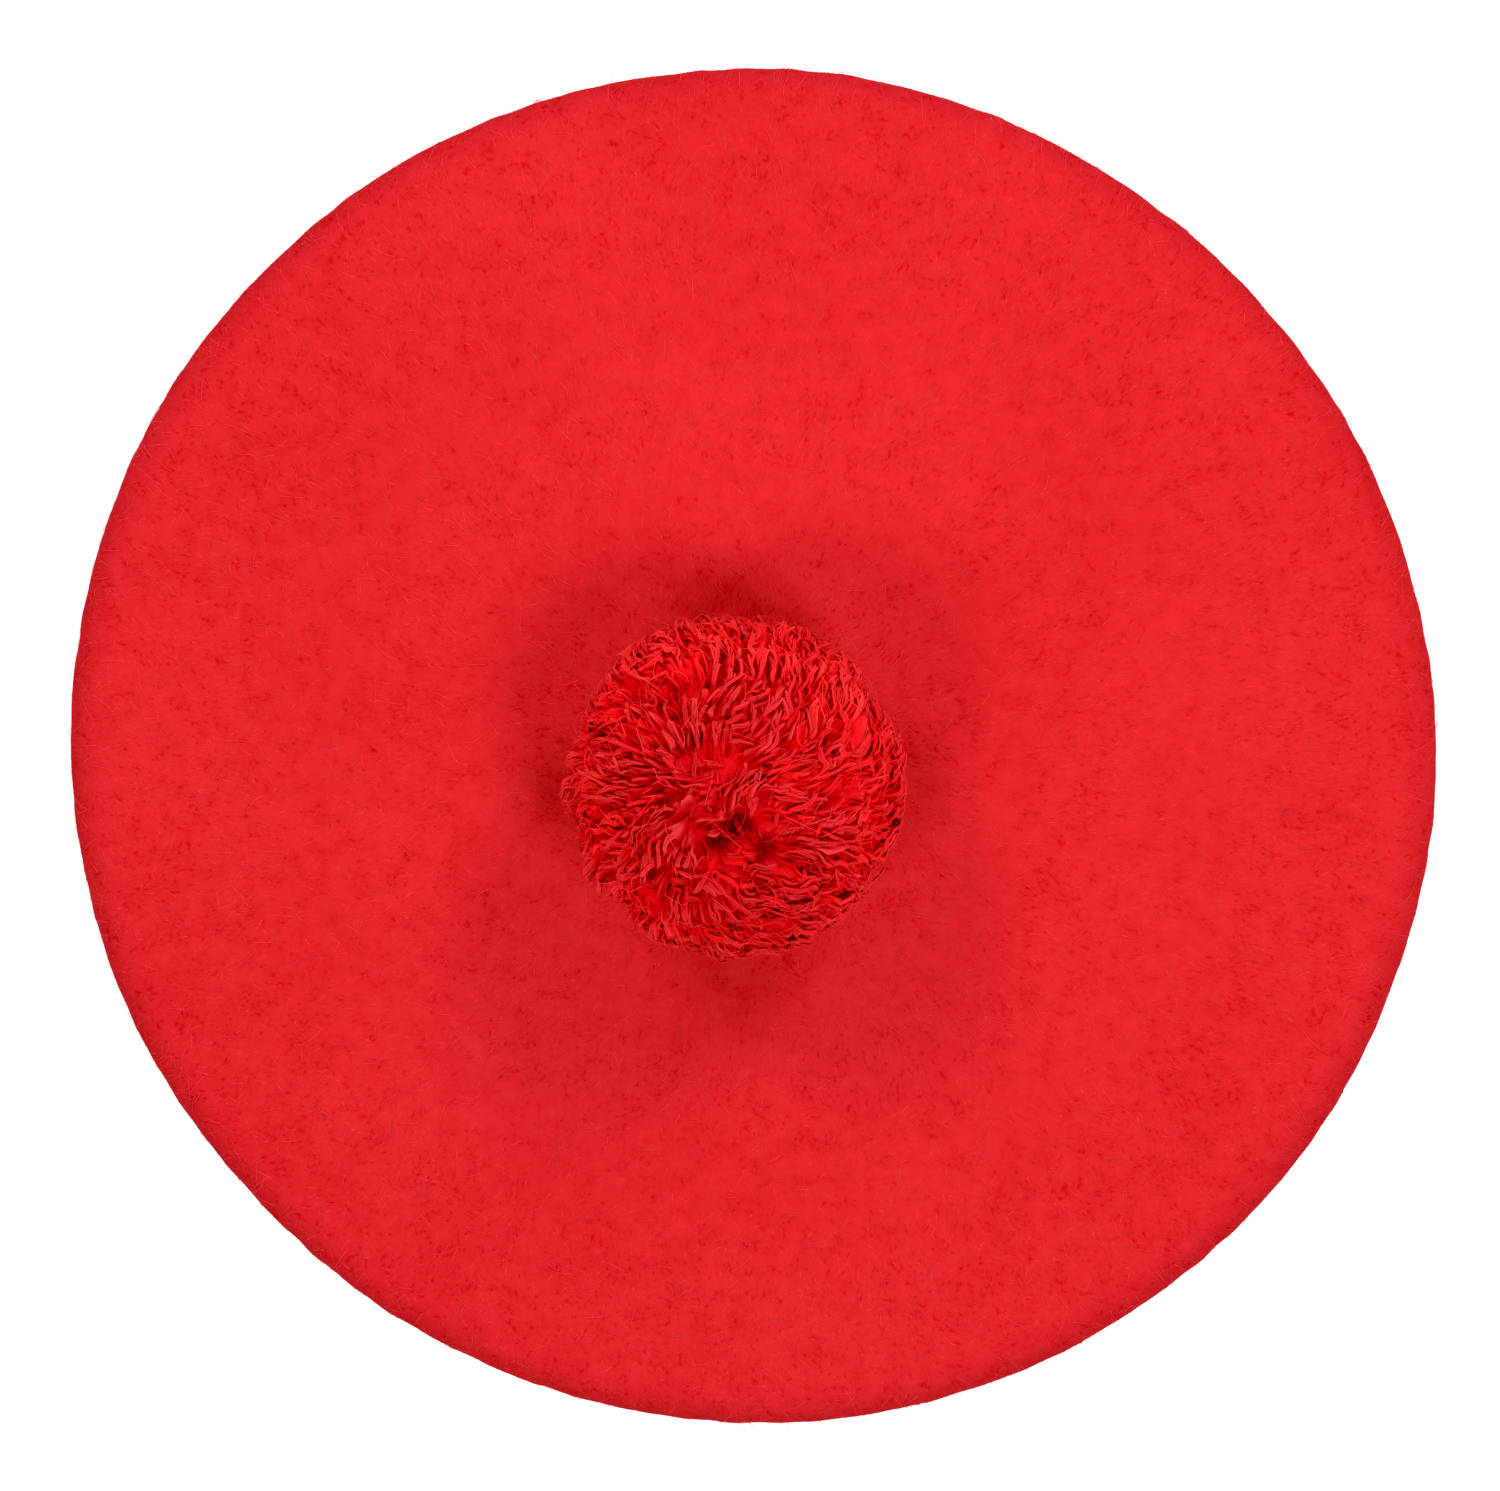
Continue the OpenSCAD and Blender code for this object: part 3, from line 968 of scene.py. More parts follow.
@dataclass(frozen=True)
class FeltSection:
    """Sizes of the felt's cross-section, as a beret blocker would name them.

    The steps are those of its arcs: the dome's, the rim's and the collar bend's.
    """

    crown_radius: float = 140.0 * MM
    crown_height: float = 40.0 * MM
    dome_drop: float = 7.0 * MM
    rim_turn: float = 7.0 * MM
    thickness: float = 2.6 * MM
    head_radius: float = 90.0 * MM
    ribbon_thickness: float = 0.7 * MM
    seat_gap: float = 0.1 * MM
    collar_height: float = 5.0 * MM
    collar_bend: float = 6.0 * MM
    hem_height: float = 9.0 * MM
    fold_gap: float = 0.2 * MM
    press_angle: float = math.radians(30.0)
    steps: tuple[int, int, int] = (60, 40, 12)

    @property
    def half(self) -> float:
        """Half of the felt's thickness."""
        return self.thickness / 2

    @property
    def hem_turn(self) -> float:
        """Radius of the hem's fold in the middle of the felt."""
        return (self.thickness + self.fold_gap) / 2

    @property
    def hem_middle(self) -> float:
        """Distance from the axis to the middle of the turned-in felt."""
        return self.head_radius + self.ribbon_thickness + 2 * self.seat_gap + self.half

    @property
    def collar_middle(self) -> float:
        """Distance from the axis to the middle of the collar's wall."""
        return self.hem_middle + 2 * self.hem_turn

    @property
    def fold_height(self) -> float:
        """Height of the middle of the hem's fold."""
        return (self.hem_turn + self.half) * math.cos(self.press_angle)

    @property
    def rim_reach(self) -> float:
        """Distance from the axis to the middle of the rim's turn."""
        return self.crown_radius - self.half - self.rim_turn

    @property
    def dome_radius(self) -> float:
        """Radius of the dome's arc through the middle of the felt."""
        return (self.rim_reach**2 + self.dome_drop**2) / (2 * self.dome_drop)

    @property
    def rim_height(self) -> float:
        """Height of the middle of the rim's turn."""
        fall = math.sqrt((self.dome_radius - self.rim_turn) ** 2 - self.rim_reach**2)
        return self.crown_height - self.half - self.dome_radius + fall

    def face(self, off: float) -> Array:
        """Line of the felt's face at a distance off from its middle, from the crown's middle to the collar.

        The dome's arc runs into the rim's arc where they touch, a straight underside follows that touches
        the rim's arc above it and the collar's bend below it, and the collar drops to the fold.

        Args:
            off: Distance from the middle of the felt, outwards.

        Returns:
            Points of the line, as x and z.
        """
        right = math.pi / 2
        dome, rim, collar = self.steps
        dome_middle = self.crown_height - self.half - self.dome_radius
        dome_angle = math.asin(self.rim_reach / (self.dome_radius - self.rim_turn))
        collar_top = self.fold_height + self.collar_height
        bend = self.collar_middle + self.collar_bend
        run, rise = self.rim_reach - bend, self.rim_height - collar_top
        slope = math.atan2(rise, run) - math.asin((self.rim_turn + self.collar_bend) / math.hypot(run, rise))
        return np.concatenate([
            arc(0.0, dome_middle, self.dome_radius + off, right, right - dome_angle, dome),
            arc(self.rim_reach, self.rim_height, self.rim_turn + off, right - dome_angle, slope - right, rim),
            arc(bend, collar_top, self.collar_bend - off, right + slope, math.pi, collar),
        ])

    def fold(self, off: float) -> Array:
        """Line of the hem's fold, an arc pressed flat where it stands on the table, up to the hem's edge.

        Args:
            off: Distance from the middle of the felt, outwards.

        Returns:
            Points of the line, as x and z.
        """
        middle = self.collar_middle - self.hem_turn
        line = arc(middle, self.fold_height, self.hem_turn + off, 0.0, -math.pi, 24)
        line[:, 1] = np.maximum(line[:, 1], 0.0)
        edge = [[self.hem_middle - off, self.fold_height + self.hem_height]]
        return np.concatenate([line, edge])


@dataclass
class FeltShell:
    """The seamless felt body, displaced into a soft drape, lumps and fuzz.

    The outline's waves are each a count round the rim, a height in millimetres and a phase. The spacings are
    those of the rows: under the pompom, on the dome, the rim, the collar and the hem's fold, then inside on
    the fold and on the rest.
    """

    section: FeltSection
    columns: int = 520
    hidden_radius: float = 24.0 * MM
    outline_waves: tuple[tuple[int, float, float], ...] = (
        (2, 0.37, 2.70),
        (4, 0.21, 1.66),
        (6, 0.08, 6.18),
        (9, 0.10, 1.43),
        (12, 0.06, 2.10),
        (19, 0.03, 4.40),
        (58, 0.04, 0.90),
        (83, 0.05, 2.30),
        (101, 0.04, 5.20),
    )
    spacings: tuple[float, ...] = (5.0 * MM, 1.4 * MM, 1.15 * MM, 2.2 * MM, 1.3 * MM, 2.0 * MM, 5.5 * MM)
    drape: float = 0.9 * MM
    drape_cell: float = 75.0 * MM
    lump: float = 0.16 * MM
    lump_cell: float = 7.0 * MM
    fuzz: float = 0.10 * MM
    fuzz_cell: float = 2.6 * MM
    # width of the band of painted shade along the rim
    rim_shade_band: float = 8.0 * MM
    loose_reach: float = 60.0 * MM
    loose_height: float = 15.0 * MM
    draped_height: Pair = (12.0 * MM, 26.0 * MM)
    draped_reach: Pair = (36.0 * MM, 80.0 * MM)
    lumpy_height: Pair = (4.0 * MM, 9.0 * MM)
    lumpy_reach: Pair = (3.0 * MM, 26.0 * MM)
    inner_share: float = 0.6
    grid: Array = field(init=False)
    normals: Array = field(init=False)
    nap_length: Array = field(init=False)
    outer_rows: int = field(init=False)

    def profile(self) -> tuple[Array, int]:
        """Closed line of the cross-section, from the crown's top middle out, under, in and back inside.

        Returns:
            Points of the line, and how many of them lie on the outer face.
        """
        section = self.section
        outer = section.face(section.half)
        hidden, dome, rim, collar, fold, inner_fold, inner_face = self.spacings
        rim_start = section.steps[0] + 1
        bend_start = rim_start + section.steps[1] + 1
        split = int(np.searchsorted(outer[:rim_start, 0], self.hidden_radius))
        outer_line = np.concatenate([
            even_points(outer[: split + 1], hidden),
            even_points(outer[split : rim_start + 1], dome)[1:],
            even_points(outer[rim_start : bend_start + 1], rim)[1:],
            even_points(outer[bend_start:], collar)[1:],
            even_points(section.fold(section.half), fold),
        ])
        inner_line = np.concatenate([
            even_points(section.fold(-section.half)[::-1], inner_fold),
            even_points(section.face(-section.half)[::-1], inner_face),
        ])
        return np.concatenate([outer_line, inner_line]), len(outer_line)

    def shaped(self) -> None:
        """Turns the cross-section round the axis and displaces it.

        A place at radius r, angle a and height z first gets the outline's waves, r + w(r) * sum of
        h sin(n a + p). The drape then adds noise to z where the felt is free, and lumps and fuzz move it
        along its own normal.
        """
        line, self.outer_rows = self.profile()
        steps = np.linalg.norm(np.diff(line, axis=0), axis=1)
        self.nap_length = np.concatenate([[0.0], np.cumsum(steps)])
        angle = TAU * np.arange(self.columns) / self.columns
        waves = sum(size * MM * np.sin(count * angle + phase) for count, size, phase in self.outline_waves)
        loose = smoothstep(self.loose_reach, self.section.crown_radius, line[:, 0])
        loose = loose * smoothstep(0.0, self.loose_height, line[:, 1])
        reach = line[:, 0, None] + loose[:, None] * waves[None, :]
        height = np.repeat(line[:, 1, None], self.columns, axis=1)
        points = round_axis(reach, angle, height)
        draped = smoothstep(*self.draped_height, height) * smoothstep(*self.draped_reach, reach)
        column = points * np.array([1.0, 1.0, 0.0])
        points[..., 2] += self.drape * draped * layered_noise(column, self.drape_cell, Seed.DRAPE, 2)
        self.normals = self.grid_normals(points)
        is_outer = (np.arange(len(line)) < self.outer_rows)[:, None]
        lumpy = smoothstep(*self.lumpy_height, height) * smoothstep(*self.lumpy_reach, reach)
        relief = self.lump * layered_noise(points, self.lump_cell, Seed.LUMP, 2)
        relief = relief + self.fuzz * layered_noise(points, self.fuzz_cell, Seed.FUZZ, 2)
        depth = relief * lumpy * np.where(is_outer, 1.0, self.inner_share)
        self.grid = points + depth[..., None] * self.normals
        self.normals = self.grid_normals(self.grid)

    @staticmethod
    def grid_normals(points: Array) -> Array:
        """Outward normals of a closed grid.

        Args:
            points: Places as rows along the section by columns round the axis.

        Returns:
            At each place, the step along the section crossed with the step round the axis.
        """
        rows = np.gradient(points, axis=0)
        around = np.roll(points, -1, axis=1) - np.roll(points, 1, axis=1)
        return unit(np.cross(rows, around))

    def piece(self) -> Piece:
        """Makes the shell's mesh, closed at the two middles where the rows shrink to a point.

        Returns:
            The felt shell.
        """
        rows = len(self.grid)
        inner = self.grid[1:-1].reshape(-1, 3)
        top, bottom = self.grid[0].mean(axis=0), self.grid[-1].mean(axis=0)
        quads = grid_quads(rows - 2, self.columns, False, True)
        ring = np.arange(self.columns)
        following = (ring + 1) % self.columns
        last = (rows - 3) * self.columns
        top_number, bottom_number = len(inner), len(inner) + 1
        top_fan = np.stack([np.full(self.columns, top_number), ring, following], axis=1)
        bottom_fan = np.stack([np.full(self.columns, bottom_number), last + following, last + ring], axis=1)
        nap = np.repeat(self.nap_length[1:-1], self.columns)
        nap = np.concatenate([nap, [0.0, self.nap_length[-1]]])
        points = np.concatenate([inner, [top, bottom]])
        widest = self.nap_length[np.argmax(np.linalg.norm(self.grid[: self.outer_rows, 0, :2], axis=1))]
        # the rim tone is the mask of the painted shade: a band round the felt's widest ring
        tones = {"nap_length": nap, "rim": np.exp(-(((nap - widest) / self.rim_shade_band) ** 2))}
        return mesh_object("felt_shell", points, [quads, top_fan, bottom_fan], tones)

    def roots(
        self, count: int, rng: Random, first: float, last: float
    ) -> tuple[Array, Array, Array]:
        """Random places on the outer face, spread evenly over its area.

        Args:
            count: Number of places.
            rng: Source of the random numbers.
            first: Length along the cross-section where the places begin.
            last: Length along the cross-section where they end.

        Returns:
            Places, outward normals, and the directions that the nap runs in, away from the middle.
        """
        rows = np.arange(self.outer_rows)
        reach = np.linalg.norm(self.grid[: self.outer_rows, 0, :2], axis=1)
        along = self.nap_length[: self.outer_rows]
        weight = np.cumsum(np.where((along > first) & (along < last), reach * np.gradient(along), 0.0))
        where = np.interp(rng.random(count) * weight[-1], weight, rows)
        column = rng.integers(0, self.columns, count)
        low = np.clip(where.astype(int), 0, self.outer_rows - 2)
        part = (where - low)[:, None]
        point = self.grid[low, column] * (1 - part) + self.grid[low + 1, column] * part
        side = (self.grid[low, (column + 1) % self.columns] - self.grid[low, column]) * rng.random((count, 1))
        nap = unit(self.grid[low + 1, column] - self.grid[low, column])
        return point + side, self.normals[low, column], nap


@dataclass
class Nap:
    """Loose fibres that lie on the felt, combed outwards."""

    shell: FeltShell
    count: int = 22000
    length: Pair = (1.5 * MM, 6.5 * MM)
    radius: float = 0.045 * MM
    lift: Pair = (0.04, 0.30)
    sink: float = 0.75
    bow: float = 0.25
    tousle: float = 0.5
    front_tousle: float = 0.8
    buried: float = 0.05 * MM
    bare_middle: float = 22.0 * MM
    bare_hem: float = 26.0 * MM
    rings: int = 4
    sides: int = 3
    parts: int = 3

    def pieces(self, rng: Random) -> list[Piece]:
        """Lays the fibres: each leaves its root at a low angle, bends to one side and sinks back at its tip.

        A fibre's place at share t of its length L is root + L t (nap turned by its own angle) +
        L (lift t - sink t t) normal + L bow t t across.

        Args:
            rng: Source of the random numbers.

        Returns:
            The fibres, in a few pieces.
        """
        last = self.shell.nap_length[self.shell.outer_rows - 1] - self.bare_hem
        root, normal, nap = self.shell.roots(self.count, rng, self.bare_middle, last)
        across = np.cross(normal, nap)
        front_left = smoothstep(20.0 * MM, -60.0 * MM, root[:, 0] + root[:, 1])
        wild = 1.0 + self.front_tousle * front_left
        angle = (rng.normal(size=self.count) * self.tousle * wild)[:, None]
        heading = nap * np.cos(angle) + across * np.sin(angle)
        sideways = np.cross(normal, heading)
        size = rng.uniform(*self.length, self.count) * rng.uniform(0.5, 1.0, self.count)
        lift = rng.uniform(*self.lift, self.count)
        bow = rng.normal(size=self.count) * self.bow
        t = np.linspace(0.0, 1.0, self.rings)[None, :, None]
        long = size[:, None, None]
        rise = lift[:, None, None] * t - self.sink * lift[:, None, None] * t * t
        path = root[:, None] + long * t * heading[:, None] + long * rise * normal[:, None]
        path = path + long * bow[:, None, None] * t * t * sideways[:, None]
        path = path - self.buried * normal[:, None] * (1.0 - t)
        radii = self.radius * rng.uniform(0.7, 1.3, (self.count, 1)) * np.linspace(1.0, 0.35, self.rings)
        shade = np.repeat(rng.random((self.count, 1)), self.rings, axis=1)
        facing = np.repeat(normal[:, 2:], self.rings, axis=1)
        made = []
        for part in range(self.parts):
            pick = slice(part, None, self.parts)
            tones = {"shade": shade[pick], "facing": facing[pick]}
            made.append(tube_object(f"felt_fibres_{part + 1}", path[pick], radii[pick], self.sides, tones))
        return made


# ---- sewing and ribbon


@dataclass
class StitchRow:
    """A ring of separate stitches of twisted thread, each dipping into the cloth at both ends."""

    name: str
    radius: float
    height: float
    outward: bool
    thread: Thread = Thread()
    length: float = 3.6 * MM
    pitch: float = 6.0 * MM
    dip: float = 0.55 * MM

    def piece(self) -> Piece:
        """Makes the row: along a stitch, t from -1 to 1, the thread is level and dips as t to the sixth.

        Returns:
            The row of stitches.
        """
        count = int(TAU * self.radius // self.pitch)
        sweep = self.length / self.radius
        t = np.linspace(-1.0, 1.0, 13)
        start = TAU * np.arange(count)[:, None] / count
        angle = start + sweep * (t + 1.0) / 2.0
        sign = 1.0 if self.outward else -1.0
        level = self.radius + sign * (self.thread.proud - self.thread.radius)
        reach = level - sign * self.dip * t**6
        paths = round_axis(reach, angle, np.full_like(angle, self.height))
        return self.thread.piece(self.name, paths)


@dataclass
class Sweatband:
    """Grosgrain ribbon inside the head opening, ribbed across, with its ends butted at the back.

    The levels are shares of its height where the ribs' depth is the belly's share.
    """

    radius: float
    thickness: float
    bottom: float
    height: float
    joint: float = 0.6 * MM
    rib_pitch: float = 1.0 * MM
    rib_depth: float = 0.11 * MM
    steps_per_rib: int = 5
    levels: tuple[float, ...] = (0.0, 0.03, 0.10, 0.5, 0.90, 0.97, 1.0)
    belly: tuple[float, ...] = (0.0, 0.35, 1.0, 1.0, 1.0, 0.35, 0.0)
    selvedge: float = 0.55
    thread: Thread = Thread()
    zigzags: int = 5
    dip: float = 0.4 * MM

    def piece(self) -> Piece:
        """Makes the ribbon: its faces sink between ribs by d (1 - cos a) / 2, and not at its selvedges.

        Returns:
            The ribbon.
        """
        open_angle = self.joint / self.radius
        ribs = int((TAU - open_angle) * self.radius / self.rib_pitch)
        columns = ribs * self.steps_per_rib + 1
        share = np.linspace(0.0, 1.0, columns)
        angle = math.pi / 2 + open_angle / 2 + share * (TAU - open_angle)
        rib = np.cos(TAU * ribs * share)
        side = np.ones(len(self.levels))
        outer = np.stack([side, self.levels, self.belly], axis=1)
        inner = np.stack([-side, self.levels, self.belly], axis=1)[::-1]
        loop = np.concatenate([outer, inner])
        half = self.thickness / 2
        relief = loop[:, 2, None] * self.rib_depth * (rib[None, :] - 1.0) / 2.0
        rounding = np.where(loop[:, 2] > 0.0, 1.0, self.selvedge)
        reach = self.radius + half + loop[:, 0, None] * (half * rounding[:, None] + relief)
        height = np.repeat((self.bottom + loop[:, 1] * self.height)[:, None], columns, axis=1)
        points = round_axis(reach, angle, height)
        quads = grid_quads(len(loop), columns, True, False)[:, ::-1]
        ends = (np.arange(len(loop)) * columns)[None, :]
        faces = [quads, ends, (ends + columns - 1)[:, ::-1]]
        tone = np.repeat(((rib + 1.0) / 2.0)[None, :], len(loop), axis=0)
        return mesh_object("grosgrain_ribbon", points.reshape(-1, 3), faces, {"rib": tone})

    def joint_thread(self) -> Piece:
        """Zigzag thread over the butted ends: straight stitches that dip as t to the sixth.

        Returns:
            The zigzag.
        """
        thread = self.thread.radius
        rise = 0.8 * self.height / self.zigzags
        reach = self.joint + 8 * thread
        order = np.arange(2 * self.zigzags)
        slant = np.where(order % 2 == 0, 1.0, -1.0) * math.atan2(reach, 0.35 * rise)
        middle_height = self.bottom + 0.1 * self.height + (order + 0.5) * rise / 2
        t = np.linspace(-1.0, 1.0, 9)[None, :]
        x = np.sin(slant)[:, None] * t * reach / 2
        z = middle_height[:, None] + np.cos(slant)[:, None] * t * reach / 2
        y = np.sqrt((self.radius + thread - self.thread.proud) ** 2 - x * x) + self.dip * t**6
        return self.thread.piece("ribbon_joint_thread", np.stack([x, y, z], axis=-1))


# ---- the tie and its anchor


@dataclass
class Anchor:
    """What holds the pompom inside the crown: a felt patch, a button and the tie's knot."""

    patch_radius: float = 16.0 * MM
    patch_thickness: float = 1.6 * MM
    patch_columns: int = 180
    patch_lump: float = 0.07 * MM
    patch_cell: float = 1.6 * MM
    thread: Thread = Thread()
    stitches: int = 16
    bite: float = math.radians(12.0)
    tie: Yarn = Yarn()
    knot_size: float = 1.12
    knot_open: Pair = (math.radians(210.0), math.radians(510.0))
    knot_end: float = 9.35 * MM

    def patch(self) -> Piece:
        """Makes the felt disc: a lens-edged round cut whose edge wavers as scissors leave it.

        Returns:
            The patch.
        """
        low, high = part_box("backing_patch")
        columns = self.patch_columns
        angle = TAU * np.arange(columns) / columns
        waver = 1.0 + 0.006 * np.sin(5 * angle + 1.0) + 0.004 * np.sin(13 * angle)
        shares = np.concatenate([np.linspace(0.04, 0.97, 16), [1.0]])
        edge = 0.12 * self.patch_thickness
        under = np.stack([shares, np.where(shares < 0.98, low.z, low.z + edge)], axis=1)
        over = np.stack([shares, np.where(shares < 0.98, high.z, high.z - edge)], axis=1)[::-1]
        loop = np.concatenate([under, over])
        reach = loop[:, 0, None] * self.patch_radius * waver[None, :]
        points = round_axis(reach, angle, np.repeat(loop[:, 1, None], columns, axis=1))
        relief = self.patch_lump * layered_noise(points, self.patch_cell, Seed.PATCH, 2)
        points[..., 2] += relief * np.where(np.arange(len(loop)) < len(under), 1.0, 0.0)[:, None]
        count = len(loop)
        quads = grid_quads(count, columns, False, True)[:, ::-1]
        ring = np.arange(columns)
        faces = [quads, ring[::-1][None, :], ((count - 1) * columns + ring)[None, :]]
        return mesh_object("felt_patch", points.reshape(-1, 3), faces, {"nap_length": reach})

    def patch_thread(self) -> Piece:
        """Overcast stitches: each is more than half of a circle that goes round the patch's edge.

        Returns:
            The stitches.
        """
        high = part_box("backing_patch")[1]
        loop = self.patch_thickness + self.thread.proud
        angle = TAU * (np.arange(self.stitches) + 0.5) / self.stitches
        turn = np.linspace(math.pi - self.bite, TAU + self.bite, 25)
        reach = self.patch_radius + loop * np.cos(turn)[None, :]
        height = np.repeat(high.z + loop * np.sin(turn)[None, :], self.stitches, axis=0)
        lean = 0.12 * np.linspace(-1.0, 1.0, 25)[None, :]
        return self.thread.piece("patch_thread", round_axis(reach, angle[:, None] + lean, height))

    def knot(self) -> Piece:
        """Overhand knot against the button, with its two cut ends hanging.

        Its loops are (sin t + 2 sin 2t, cos t - 2 cos 2t, -sin 3t) times a scale, open at the bottom lobe,
        and each end leaves the open lobe outwards and down by a parabola.

        Returns:
            The anchor knot.
        """
        box_low, box_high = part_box("anchor_knot")
        scale = self.knot_size * self.tie.radius
        start, end = self.knot_open

        def loop(t: Array) -> Array:
            """Middle of the yarn in the knot's loops."""
            x, y = np.sin(t) + 2 * np.sin(2 * t), np.cos(t) - 2 * np.cos(2 * t)
            return scale * np.stack([x, y, -np.sin(3 * t)], axis=-1)

        def tail(origin: Array, side: float, share: Array) -> Array:
            """Middle of the yarn in one free end."""
            return origin + np.stack([
                side * 0.35 * self.knot_end * share**2,
                -self.knot_end * share,
                -origin[2] * share - 0.25 * self.knot_end * share**2,
            ], axis=-1)

        share = np.linspace(0.0, 1.0, 24)[1:]
        path = np.concatenate([
            tail(loop(np.array(start)), 1.0, share)[::-1],
            loop(np.linspace(start, end, 150)),
            tail(loop(np.array(end)), -1.0, share),
        ])
        path[:, 2] += (box_high.z + box_low.z) / 2 - (path[:, 2].max() + path[:, 2].min()) / 2
        return self.tie.piece("inner_knot", path[None])

    def tails(self) -> Piece:
        """The tie's two ends through the crown, patch and button, straight down.

        Returns:
            The two tails.
        """
        low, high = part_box("tie_tails")
        side = (high.x - low.x) / 2 - self.tie.radius
        return self.tie.pair("tail_yarns", side, np.linspace(high.z - 0.4 * MM, low.z, 24))


@dataclass
class Shank:
    """The short neck of yarn between the crown and the pompom."""

    tie: Yarn = Yarn()
    knot_yarn: Yarn = Yarn(0.42 * Yarn.radius, 2, 2.4 * MM)
    wrap: Yarn = Yarn(0.65 * MM, 2, 2.2 * MM)
    wrap_turns: int = 3
    waist_turns: int = 3

    @property
    def pivot(self) -> Array:
        """Middle of the knot that the pompom leans about."""
        low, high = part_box("shank_knot")
        return np.array([(v + w) / 2 for v, w in zip(low, high)])

    def knot(self) -> Piece:
        """Round knot: yarn wound over a ball, whose turns lean a little further at each pass.

        Its path on the ball has latitude k sin(m t) and longitude t, so the passes cross each other.

        Returns:
            The shank's knot.
        """
        low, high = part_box("shank_knot")
        t = np.linspace(0.0, 5 * TAU, 400)
        latitude = 1.25 * np.sin(1.4 * t)
        reach = (high.z - low.z) / 2 - self.knot_yarn.radius
        path = round_axis(np.cos(latitude), t, np.sin(latitude))
        core = reach * 0.55 * unit(path + 1e-6)
        return self.knot_yarn.piece("neck_knot", np.stack([self.pivot + reach * path, self.pivot + core]))

    def winding(self) -> Piece:
        """Turns of thread round the two cords, a helix from the wrap's lower end to its upper one.

        Returns:
            The winding.
        """
        low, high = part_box("shank_wrap")
        middle = (high.x - low.x) / 2 - self.wrap.radius
        t = np.linspace(0.0, self.wrap_turns * TAU, 220)
        height = np.linspace(low.z + self.wrap.radius, high.z - self.wrap.radius, len(t))
        return self.wrap.piece("neck_winding", round_axis(middle, t, height)[None])

    def cords(self) -> Piece:
        """The binding's two cords, side by side from the pompom's waist down to the knot.

        Returns:
            The two cords.
        """
        low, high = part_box("binding_cords")
        side = (high.x - low.x) / 2 - self.tie.radius
        return self.tie.pair("cord_yarns", side, np.linspace(high.z, low.z + 0.1 * MM, 60))

    def waist(self) -> Piece:
        """Turns of yarn round the strands' waist: rings in an upright plane, side by side along x.

        Returns:
            The binding.
        """
        low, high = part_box("waist_binding")
        centre = (low.z + high.z) / 2
        middle = (high.z - low.z) / 2 - self.tie.radius
        across = high.x - low.x - 2 * self.tie.radius
        t = np.linspace(0.0, self.waist_turns * TAU, 300)
        x = np.linspace(-across / 2, across / 2, len(t))
        path = np.stack([x, middle * np.cos(t), centre + middle * np.sin(t)], axis=1)
        return self.tie.piece("waist_yarn", path[None])


# ---- the pompom


@dataclass(frozen=True)
class LeafSection:
    """A cut end that stands free: a rolled strip at its root, a cupped leaf with thin edges at its tip."""

    columns: tuple[float, ...] = (-1.0, -0.6, 0.0, 0.6, 1.0, 0.0)
    outside: int = 5
    half_width: Pair = (0.36 * MM, 0.82 * MM)
    thickness: float = 0.58 * MM
    edge_thinning: float = 0.6
    rolled: float = 2.6
    opened: Pair = (1.7, 2.7)

    def offsets(self, s: Array, count: int, rng: Random) -> tuple[Array, Array, Array]:
        """Cross-sections of all ends.

        A strip of half-width w is rolled on a circle of radius w / a, where a falls from the rolled angle at
        the root to the opened one at the tip, so that column u stands at (w / a)(sin u a, 1 - cos u a). The
        edges are two fifths as thick as the middle.

        Args:
            s: Share of the length at each ring.
            count: Number of ends.
            rng: Source of the random numbers.

        Returns:
            Offsets sideways and outwards, and how much painted highlight each place gets, as ends by rings by
            columns.
        """
        u = np.array(self.columns)[None, None, :]
        side = np.where(np.arange(len(self.columns)) < self.outside, 1.0, -1.0)[None, None, :]
        grow = (0.7 + 0.3 * smoothstep(0.2, 0.6, s))[None, :, None]
        narrow, broad = self.half_width
        width = (narrow + (broad - narrow) * rng.random((count, 1, 1)) ** 1.5) * grow
        opened = rng.uniform(*self.opened, (count, 1, 1))
        curl = self.rolled + (opened - self.rolled) * smoothstep(0.3, 0.7, s)[None, :, None]
        radius = width / curl
        share = 1.0 - self.edge_thinning * u * u
        middle = radius + side * self.thickness / 2 * share
        across = middle * np.sin(u * curl)
        depth = radius * (1.0 + 0.5 * (np.cos(curl) - 1.0)) - middle * np.cos(u * curl)
        # the edges' share of the painted highlight grows as |u| cubed
        return across, depth, np.abs(u) ** 3 * np.ones_like(across)


